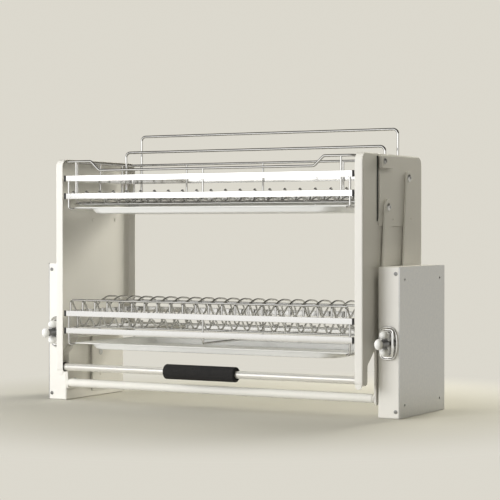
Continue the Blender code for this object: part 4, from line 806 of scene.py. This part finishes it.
def rivet(side, place):
    """A round rivet through the panel and hanger plate, with a domed head on the inner face."""
    length = HANGER_OUTER - PANEL_INNER + 0.8
    profile = [(0.1, length + 0.6), (1.6, length + 0.5), (2.6, length), (2.4, length - 0.6), (2.4, -0.3),
               (4.2, -0.3), (4.2, -0.6), (3.6, -1.2), (2.4, -1.55), (0.1, -1.65)]
    return turned(profile, (side * PANEL_INNER, *place), (side, 0, 0), 28)


def hanger(tag, side):
    """The plate outside the panel with its top block, rivets, screw and pivot bolts, and a dark strip
    painted as the shadow between panel and plate.
    """
    outward = (side, 0, 0)
    corners = [(-68, 533), (-68, 414), (-75, 396), (-68, 388), (107, 388), (107, 533)]
    outline = arcs(corners, [8, 6, 4, 4, 8, 8], 6)
    sheet = plate_x(outline, side * HANGER_INNER, side * HANGER_OUTER, 0.5)
    block = plate_x(rectangle(*BLOCK_CORNERS, 3.0), side * (HANGER_OUTER - 0.3), side * BLOCK_OUTER, 1.6)
    piece("hanger_sheet_" + tag, [sheet, block] + [rivet(side, place) for place in RIVETS], CREAM, "rack",
          ["hanger_plate_" + tag])
    washer = turned([(0.2, 0.0), (6.4, 0.0), (6.4, 0.9), (6.0, 1.1), (0.2, 1.1)],
                    (side * (BLOCK_OUTER - 0.1), *BLOCK_SCREW), outward, 36)
    head = socket_head((side * (BLOCK_OUTER + 0.9), *BLOCK_SCREW), outward, 4.9, 2.8, 4.2, 0.4)
    piece("hanger_screw_" + tag, [washer, head], SCREW, "rack")
    # Painted shade: a black strip on the panel's outer face, where the gap in front of the hanger would lie
    # in shadow
    shadow_strip = plate_x(rectangle(*SHADOW_STRIP_CORNERS, 1.0), side * SHADOW_STRIP_FACES[0], side * SHADOW_STRIP_FACES[1], 0.3)
    piece("hanger_shadow_strip_" + tag, [shadow_strip], BLACK, "rack")
    for name, place in (("front", FRONT_TOP), ("rear", REAR_TOP)):
        stem = turned([(5.0, 0.0), (5.0, 5.6)], (side * (HANGER_OUTER + PIVOT_STANDS), *place), outward, 32)
        head = socket_head((side * (ARM_OUTER + PIVOT_STANDS), *place), outward, 8.0, 3.0, 5.0, place[0])
        piece(name + "_bolt_" + tag, [stem, head], ZINC, "rack", [name + "_pivot_bolt_" + tag])


# Baskets

BAND_FRONT, BAND_REAR, BAND_HALF = -141.0, 128.0, 353.0
BAND_HEIGHT, BAND_SHEET, BAND_CORNER = 12.6, 2.0, 5.0
UPPER_BANDS = (500.0, 461.0)
LOWER_BANDS = (203.0, 165.0)
BAND_GAP = 0.6
# Dark sleeves at the bands' ends: painted shade standing for the shadow in the gap where a band stops short
# of a panel
END_SHADE_INNER, END_SHADE_OUTER = 350.4, 354.2
END_SHADE_TALLER, END_SHADE_THICKER = 0.6, 0.8
POST_FRONT, POST_REAR, POST_SIDE = -137.7, 124.7, 349.7
POST_WIRE, POST_DROP = 2.3, 12
FRONT_POST = 324
SIDE_POSTS = (-90, 0, 90)
REAR_POSTS = (-200, 0, 200)
RAIL_HIGH, RAIL_LOW, RAIL_WIRE = 530.5, 510.5, 2.75
DIP_OUTER, DIP_INNER = 285, 263
RUNNER_FRONT, RUNNER_REAR, RUNNER_INSET = -137.6, 124.6, 3.0
RUNNER_CORNER, RUNNER_RAIL, RUNNER_WIRE = 344.0, 335.0, 2.4
RUNNER_DROP = 3.7
STAY_LOW, STAY_HIGH = 141, 170
BOSS_BACKS, BOSS_SUNK = (-73.0, 60.0), 0.6
FLOOR_WIRE, CROSS_WIRE, HOOK_WIRE, STAPLE_WIRE = 2.0, 2.5, 1.8, 3.0
FLOOR_PITCH, FLOOR_COUNT = 35.2, 20
PLATE_PITCH, PLATE_COUNT, PLATE_SHIFT = 32.1, 22, -2.5
CROSS_ROD_BACKS = (-108.7, -68.0, -28.0, 71.5, 101.0)
CROSS_ROD_HEIGHT, CROSS_ROD_HALF = 437.4, 350.7
DIVIDER_RODS = ((338, -133.2, 226.0), (350.7, -86, 166), (338, -8, 222.5), (350.7, 96.5, 166))
STUD_PLACES, STUD_BACK, STUD_LOW, STUD_HIGH = (-231, 0, 231), -68, 431.6, 436.5
HOOK_CORNERS = ((-231, -72.2, 433.6), (-199, -72.2, 433.6), (-199, -72.2, 441.2), (-209, -72.2, 441.2))
STAPLE_HALF = 327.0
# The rails above the upper basket as (back, top, low)
REAR_RAIL = (131.3, 597.0, 448.4)
FRONT_RAIL = (65.7, 557.5, 437.5)
UPPER_TRAY, LOWER_TRAY = 430.5, 132.5

# A tray from its hem inwards as (half width, front, rear, corner, height above its rim)
TRAY_ROWS = ((337.3, -126.8, 122.8, 5, -2.6), (337.5, -127.0, 123.0, 5, -1.6),
             (337.5, -127.0, 123.0, 5, -0.6), (336.9, -126.5, 122.5, 5, -0.1),
             (336.0, -125.9, 121.9, 5, 0.0), (312.0, -124.9, 120.9, 33, 0.0),
             (310.0, -124.4, 120.4, 34, -0.4), (308.4, -123.9, 119.9, 34, -1.6),
             (301.0, -121.6, 117.6, 34, -10.6), (299.0, -120.8, 116.8, 34, -12.2),
             (296.0, -118.5, 114.5, 33, -12.9), (290.0, -113.0, 109.0, 30, -13.0))
TRAY_HEM = ((336.3, -125.8, 121.8, 5, -1.6), (336.4, -125.9, 121.9, 5, -2.7))


def plan(half_width, front, rear, radius, steps):
    """A rectangle seen from above, with round corners."""
    return rectangle(-half_width, front, half_width, rear, radius, steps)


def band(top):
    """A flat strip on edge, carried round the basket's plan."""
    inset = BAND_SHEET / 2
    round_plan = plan(BAND_HALF - inset, BAND_FRONT + inset, BAND_REAR - inset, BAND_CORNER - inset, 6)
    path = np.column_stack([round_plan, np.full(len(round_plan), top - BAND_HEIGHT / 2)])
    return swept(path, oblong(BAND_SHEET, BAND_HEIGHT, 0.7), closed=True)


def band_end_shades(top):
    """Dark sleeves where a band meets the panels' turned-in edges, painted as the shadow in the gap at the
    band's end.
    """
    back, height = BAND_FRONT + BAND_SHEET / 2, top - BAND_HEIGHT / 2
    section = oblong(BAND_HEIGHT + END_SHADE_TALLER, BAND_SHEET + END_SHADE_THICKER, 0.6)
    return [swept([(side * END_SHADE_INNER, back, height), (side * END_SHADE_OUTER, back, height)], section)
            for side in SIDES.values()]


def banded(name, tops):
    """The pair of bands round a basket and the dark sleeves painted as shadow at their ends."""
    piece(name + "_bands", [band(top) for top in tops], SHEENED_BAND_CHROME, "rack")
    end_shades = band_end_shades(tops[0]) + band_end_shades(tops[1])
    piece(name + "_band_end_shades", end_shades, BLACK, "rack")


def runner(side, top, tray_top):
    """Down at the front corner, in under the tray's rim, back along it and up at the rear corner."""
    z = tray_top - RUNNER_DROP
    corner, rail = side * RUNNER_CORNER, side * RUNNER_RAIL
    path = [(corner, RUNNER_FRONT, top), (corner, RUNNER_FRONT, z), (rail, RUNNER_FRONT + RUNNER_INSET, z),
            (rail, RUNNER_REAR - RUNNER_INSET, z), (corner, RUNNER_REAR, z), (corner, RUNNER_REAR, top)]
    return wire(arcs(path, [0, 4.5, 3.2, 3.2, 4.5, 0], 5, closed=False), RUNNER_WIRE)


def posts(tops_front, low, high):
    """Upright wires behind the bands."""
    middle = (POST_FRONT + POST_REAR) / 2
    places = [(x, POST_FRONT, top) for x, top in tops_front]
    places += [(side * POST_SIDE, middle + step, high) for side in SIDES.values() for step in SIDE_POSTS]
    places += [(x, POST_REAR, high) for x in REAR_POSTS]
    return [wire([(x, back, low), (x, back, top)], POST_WIRE) for x, back, top in places]


def bosses(height):
    """Round spacers between the lower band and the side panels, each with a thin shoulder."""
    profile = [(5.0, 0.0), (5.5, 0.4), (5.5, 17.0), (6.4, 17.2), (6.4, 20.4), (6.0, 21.0)]
    return [turned(profile, (side * (BAND_HALF - BOSS_SUNK), back, height), (side, 0, 0), 28)
            for side in SIDES.values() for back in BOSS_BACKS]


def top_rail():
    """The closed rail: round the sides and back, with a dip along the front."""
    x, high, low = POST_SIDE, RAIL_HIGH, RAIL_LOW
    corners = [(x, POST_FRONT, high), (x, POST_REAR, high), (-x, POST_REAR, high), (-x, POST_FRONT, high),
               (-DIP_OUTER, POST_FRONT, high), (-DIP_INNER, POST_FRONT, low), (DIP_INNER, POST_FRONT, low),
               (DIP_OUTER, POST_FRONT, high)]
    return wire(arcs(corners, [7, 7, 7, 7, 8, 8, 8, 8], 6), RAIL_WIRE, 14, closed=True)


def upper_frame():
    """Bands, posts, the dipping rail, bosses and the upper tray's runners."""
    high, low = UPPER_BANDS
    banded("upper", UPPER_BANDS)
    fronts = [(-FRONT_POST, RAIL_HIGH), (0, RAIL_LOW), (FRONT_POST, RAIL_HIGH)]
    surfaces = posts(fronts, low - POST_DROP, RAIL_HIGH) + [top_rail()] + bosses(low - BAND_HEIGHT / 2)
    surfaces += [runner(side, high - BAND_GAP, UPPER_TRAY) for side in SIDES.values()]
    piece("upper_wires", surfaces, CHROME, "rack", ["upper_basket_frame"])


def lower_frame():
    """Bands, posts, bosses, the lower tray's runners and a low middle stay."""
    high, low = LOWER_BANDS
    top = high - BAND_GAP
    banded("lower", LOWER_BANDS)
    surfaces = posts([(0, top)], low - POST_DROP, top) + bosses(low - BAND_HEIGHT / 2)
    surfaces += [runner(side, top, LOWER_TRAY) for side in SIDES.values()]
    line = in_section([(-136.7, STAY_HIGH), (-136.7, STAY_LOW), (123.7, STAY_LOW), (123.7, STAY_HIGH)],
                      [0, 4, 4, 0], 6)
    surfaces.append(wire(line, RUNNER_WIRE))
    piece("lower_wires", surfaces, CHROME, "rack", ["lower_basket_frame"])


def in_section(profile, radii, steps=5):
    """A wire's middle line in the plane across, from (back, height) corners."""
    line = arcs(profile, radii, steps, closed=False)
    return np.column_stack([np.zeros(len(line)), line])


def spaced(surface, count, pitch, shift=0.0):
    """A surface repeated about the middle at an equal pitch."""
    return repeated(surface, [((index - (count - 1) / 2) * pitch + shift, 0, 0) for index in range(count)])


def rod(half, back, height):
    """A straight cross rod."""
    return wire([(-half, back, height), (half, back, height)], CROSS_WIRE)


def upper_floor():
    """The upper floor: wires that dip in two troughs, on cross rods, with studs and one curled hook."""
    profile = [(-136.7, 455), (-136.7, 464.6), (-131, 464.6), (-117, 441), (-23, 441), (17, 453), (45, 441),
               (110.7, 441), (123.7, 463.5)]
    line = in_section(profile, [0, 2.6, 4, 9, 16, 18, 16, 9, 0])
    surfaces = spaced(wire(line, FLOOR_WIRE, 10), FLOOR_COUNT, FLOOR_PITCH)
    surfaces += [rod(CROSS_ROD_HALF, back, CROSS_ROD_HEIGHT) for back in CROSS_ROD_BACKS]
    surfaces += [wire([(x, STUD_BACK, STUD_LOW), (x, STUD_BACK, STUD_HIGH)], HOOK_WIRE, 10)
                 for x in STUD_PLACES]
    surfaces.append(wire(arcs(HOOK_CORNERS, [0, 3.7, 3.7, 0], 8, closed=False), HOOK_WIRE, 10))
    piece("bowl_floor", surfaces, CHROME, "rack", ["upper_basket_floor"])


def staple(name, back, top, low):
    """A wide staple of heavy wire with round shoulders."""
    x = STAPLE_HALF
    line = arcs([(-x, back, low), (-x, back, top), (x, back, top), (x, back, low)], [0, 11, 11, 0], 8,
                closed=False)
    piece(name + "_bar", [wire(line, STAPLE_WIRE, 16)], CHROME, "rack", [name])


def plate_divider():
    """Equal bent wires: a front peak, a vee and a long rear arch."""
    profile = [(-136.7, 193), (-136.7, 233), (-125, 214), (-92, 168.5), (-79, 168.5), (-48, 200), (-20, 221),
               (10, 231), (48, 228), (68, 215), (88, 169.5), (105, 169.5)]
    line = in_section(profile, [0, 3.6, 20, 6, 6, 40, 40, 60, 40, 30, 9, 0])
    surfaces = spaced(wire(line, FLOOR_WIRE, 10), PLATE_COUNT, PLATE_PITCH, PLATE_SHIFT)
    surfaces += [rod(*place) for place in DIVIDER_RODS]
    piece("plate_divider", surfaces, CHROME, "rack", ["plate_rack"])


def tray(name, top, body):
    """A pressed tray: a hemmed rim, round shoulders, sloping walls and a flat floor, from its plan rings."""
    under = [(x - 1.0, front + 1.0, rear - 1.0, radius, z - 1.0)
             for x, front, rear, radius, z in TRAY_ROWS[3:]]
    rings = []
    for x, front, rear, radius, z in (*under[::-1], *TRAY_HEM, *TRAY_ROWS):
        outline = plan(x, front, rear, radius, 8)
        rings.append(np.column_stack([outline, np.full(len(outline), top + z)]))
    piece(name + "_sheet", [stacked(rings)], TRAY, body, [name])


# Handle

GRIP_HALF, GRIP_SHIFT = 87.0, -8.5
GRIP_BORE, GRIP_RADIUS, GRIP_EDGE = 8.2, 16.0, 3.0
RIPPLE_HALF, RIPPLE_DEPTH = 82.5, 0.12
CUP_GAP = 0.3


def handle():
    """A round tube, a faintly rippled foam sleeve with round ends, and a rubber cup at each panel."""
    profile = [(5.2, -371.2), (7.4, -371.2), (8.0, -370.6), (8.0, 370.6), (7.4, 371.2), (5.2, 371.2)]
    piece("handle_bar", [turned(profile, (0, *HANDLE_PLACE), (1, 0, 0), 48)], SATIN, "rack",
          ["handle_tube"])
    shoulder = GRIP_RADIUS - GRIP_EDGE
    end = [(shoulder + GRIP_EDGE * math.sin(value), -GRIP_HALF + GRIP_EDGE * (1 - math.cos(value)))
           for value in np.linspace(0, np.pi / 2, 7)]
    middle = [(GRIP_RADIUS - RIPPLE_DEPTH * math.cos(place * 0.6) ** 2, place)
              for place in np.linspace(-RIPPLE_HALF, RIPPLE_HALF, 58)]
    outer = end + middle + [(radius, -place) for radius, place in end[::-1]]
    profile = [(GRIP_BORE, GRIP_HALF), (GRIP_BORE, -GRIP_HALF), (9.6, -GRIP_HALF), *outer, (9.6, GRIP_HALF)]
    sleeve = piece("handle_foam", [turned_ring(profile, (GRIP_SHIFT, *HANDLE_PLACE), (1, 0, 0), 56)], FOAM,
                   "rack", ["handle_grip"], crease=50)
    profile = [(8.3, 0.2), (8.3, 16.4), (9.1, 16.4), (9.6, 16.0), (9.7, 15.4), (9.7, 12.8), (9.2, 12.2),
               (9.2, 1.0), (9.7, 0.6), (9.7, 0.2)]
    for tag, side in SIDES.items():
        cup = turned_ring(profile, (side * (PANEL_INNER - CUP_GAP), *HANDLE_PLACE), (-side, 0, 0), 40)
        piece("handle_cup_" + tag, [cup], BLACK, "rack", ["handle_socket_" + tag])


# Lamps, floor and camera, in metres

PALE = (0.715, 0.69, 0.615, 1)
FLOOR_COLOUR = (0.60, 0.585, 0.53, 1)
FRONT_CARD = (1.04, 1.03, 1.0, 1)
ROOM_STOPS = ((0.0, (0.30, 0.28, 0.24, 1)), (0.34, (0.40, 0.38, 0.33, 1)), (0.41, PALE), (0.545, PALE),
              (0.575, (0.95, 0.94, 0.92, 1)), (0.62, (0.30, 0.275, 0.22, 1)), (0.70, (0.07, 0.062, 0.05, 1)),
              (0.88, (0.06, 0.055, 0.045, 1)), (1.0, (0.30, 0.29, 0.27, 1)))
LIGHT_STOPS = ((0.0, (0.22, 0.21, 0.17, 1)), (0.5, (0.19, 0.18, 0.13, 1)), (0.62, (0.09, 0.083, 0.05, 1)),
               (1.0, (0.03, 0.025, 0.01, 1)))

# The card stands where a direction's back share and height pass these edges, over these widths
CARD_AHEAD = (-0.35, -0.35)
CARD_BELOW = (0.24, -0.13)

# Each lamp's name, place, size, watts and colour, and the lamps that the chrome mirrors
WHITE = (1.0, 1.0, 1.0)
WARM = (1.0, 0.97, 0.86)
LAMPS = (("key", (-1.4, -3.1, 0.8), 2.0, 80.0, WHITE), ("sheen", (-1.5, -3.1, 1.2), 2.0, 13.0, WHITE),
         ("left", (-2.2, -0.8, 1.0), 1.6, 24.0, WHITE), ("front", (0.25, -1.9, 0.6), 0.86, 2.5, WHITE),
         ("right", (0.8, -0.2, 1.0), 0.4, 1.0, WARM), ("top", (0.2, -0.5, 2.2), 1.6, 6.0, WARM),
         ("back", (0.4, 1.5, 1.0), 0.9, 33.0, WARM))
MIRRORED_LAMPS = ("front", "sheen")
LAMP_AIM = np.array([0.0, 0.0, 0.3])

FLOOR_RADIUS, FLOOR_LEVEL = 2.3, -0.0005
FLOOR_NEAR, FLOOR_BLEND = 0.42, 0.53
FLOOR_DIMMING = 0.7

CAMERA_PLACE = (1.8643, -3.25105, 0.3794)
CAMERA_DOWN, CAMERA_LEFT = 0.651, 29.345
CAMERA_LENS = 124.07


def surroundings():
    """Plain pale to the camera. Chrome mirrors a room that is pale at eye level and dim overhead.

    A white card stands in front of the rack, and the light on the rack is weaker from the right.
    """
    world = bpy.data.worlds.new("pale_room")
    bpy.context.scene.world = world
    world.use_nodes = True
    world.node_tree.nodes.clear()
    graph = Graph(world.node_tree)
    direction = graph.add("ShaderNodeTexCoord", {}, {}).outputs["Generated"]
    split = graph.add("ShaderNodeSeparateXYZ", {}, {0: direction})
    across, back, up = [Channel(graph, output) for output in split.outputs]
    card = back.beyond(*CARD_AHEAD) * up.beyond(*CARD_BELOW)
    room = graph.blend(graph.ramp(0.5 * up + 0.5, ROOM_STOPS), FRONT_CARD, card)
    light = graph.ramp(0.5 * across + 0.5, LIGHT_STOPS)
    rays = graph.add("ShaderNodeLightPath", {}, {}).outputs
    unseen = graph.blend(light, room, rays["Is Glossy Ray"])
    seen = graph.blend(unseen, PALE, rays["Is Camera Ray"])
    shader = graph.add("ShaderNodeBackground", {}, {"Color": seen})
    graph.add("ShaderNodeOutputWorld", {}, {0: shader.outputs[0]})


def floor():
    """A pale disc that keeps the object's shadow and runs into the colour of the surroundings."""
    finish = Finish("pale_floor")
    finish.put("Base Color", FLOOR_COLOUR)
    finish.put("Roughness", 0.9)
    reach = finish.channel("ShaderNodeVectorMath", {"operation": "LENGTH"}, {0: finish.place}, "Value")
    rays = finish.add("ShaderNodeLightPath", {}, {}).outputs
    seen = finish.channel("ShaderNodeMath", {"operation": "MAXIMUM"},
                          {0: rays["Is Camera Ray"], 1: rays["Is Glossy Ray"]})
    far = finish.add("ShaderNodeEmission", {}, {"Color": PALE, "Strength": 1 - FLOOR_DIMMING * (1 - seen)})
    mix = finish.add("ShaderNodeMixShader", {}, {0: reach.beyond(FLOOR_NEAR, FLOOR_BLEND),
                                                 1: finish.shader.outputs[0], 2: far.outputs[0]})
    finish.fill(finish.tree.nodes["Material Output"].inputs[0], mix.outputs[0])
    ring = circle(FLOOR_RADIUS, 64)
    points = np.column_stack([ring, np.full(len(ring), FLOOR_LEVEL)])
    mesh = bpy.data.meshes.new("floor")
    mesh.from_pydata(points.tolist(), [], [list(range(len(ring)))])
    mesh.materials.append(finish.material)
    ground = bpy.data.objects.new("floor", mesh)
    bpy.context.scene.collection.objects.link(ground)


def lamps():
    """Soft round lamps, each aimed at the middle of the rack. The chrome mirrors two of them."""
    for name, place, size, watts, colour in LAMPS:
        lamp = bpy.data.lights.new(name, "AREA")
        lamp.shape = "DISK"
        lamp.size = size
        lamp.energy = watts
        lamp.color = colour
        item = bpy.data.objects.new(name, lamp)
        item.location = place
        aim = LAMP_AIM - np.array(place)
        yaw = math.atan2(aim[1], aim[0]) - math.pi / 2
        pitch = math.acos(-aim[2] / np.linalg.norm(aim))
        item.rotation_euler = (pitch, 0, yaw)
        item.visible_glossy = name in MIRRORED_LAMPS
        bpy.context.scene.collection.objects.link(item)


def camera():
    """A long lens at rack height, to the right of the middle."""
    lens = bpy.data.cameras.new("camera")
    lens.sensor_width = 36
    lens.lens = CAMERA_LENS
    view = bpy.data.objects.new("camera", lens)
    view.location = CAMERA_PLACE
    view.rotation_euler = (math.radians(90 - CAMERA_DOWN), 0, math.radians(CAMERA_LEFT))
    bpy.context.scene.collection.objects.link(view)
    bpy.context.scene.camera = view
    bpy.context.scene.view_settings.view_transform = "Standard"


def build():
    """Every piece, then the finishes of the parts that keep their shape, then the stage."""
    for tag, side in SIDES.items():
        escutcheon(tag, side)
        housing_details(tag, side)
        knob(tag, side)
        arms(tag, side)
        panel(tag, side)
        hanger(tag, side)
    cross_tube()
    upper_frame()
    lower_frame()
    upper_floor()
    staple("bowl_rail_rear", *REAR_RAIL)
    staple("bowl_rail_front", *FRONT_RAIL)
    plate_divider()
    tray("upper_drip_tray", UPPER_TRAY, "upper_tray")
    tray("lower_drip_tray", LOWER_TRAY, "lower_tray")
    handle()
    dress(CREAM, *sided("housing_shell"))
    dress(ZINC, *sided("mounting_plate", "spring_hanger", "adjuster_pin", "adjuster_lever", "cam_wheel"))
    dress(NYLON, *sided("shaft_bearing", "rear_pivot_washer"))
    dress(BLACK, *sided("arm_rest_stop", "rotary_damper"))
    dress(DARK_STEEL, *sided("lift_spring"))
    surroundings()
    floor()
    lamps()
    camera()


build()
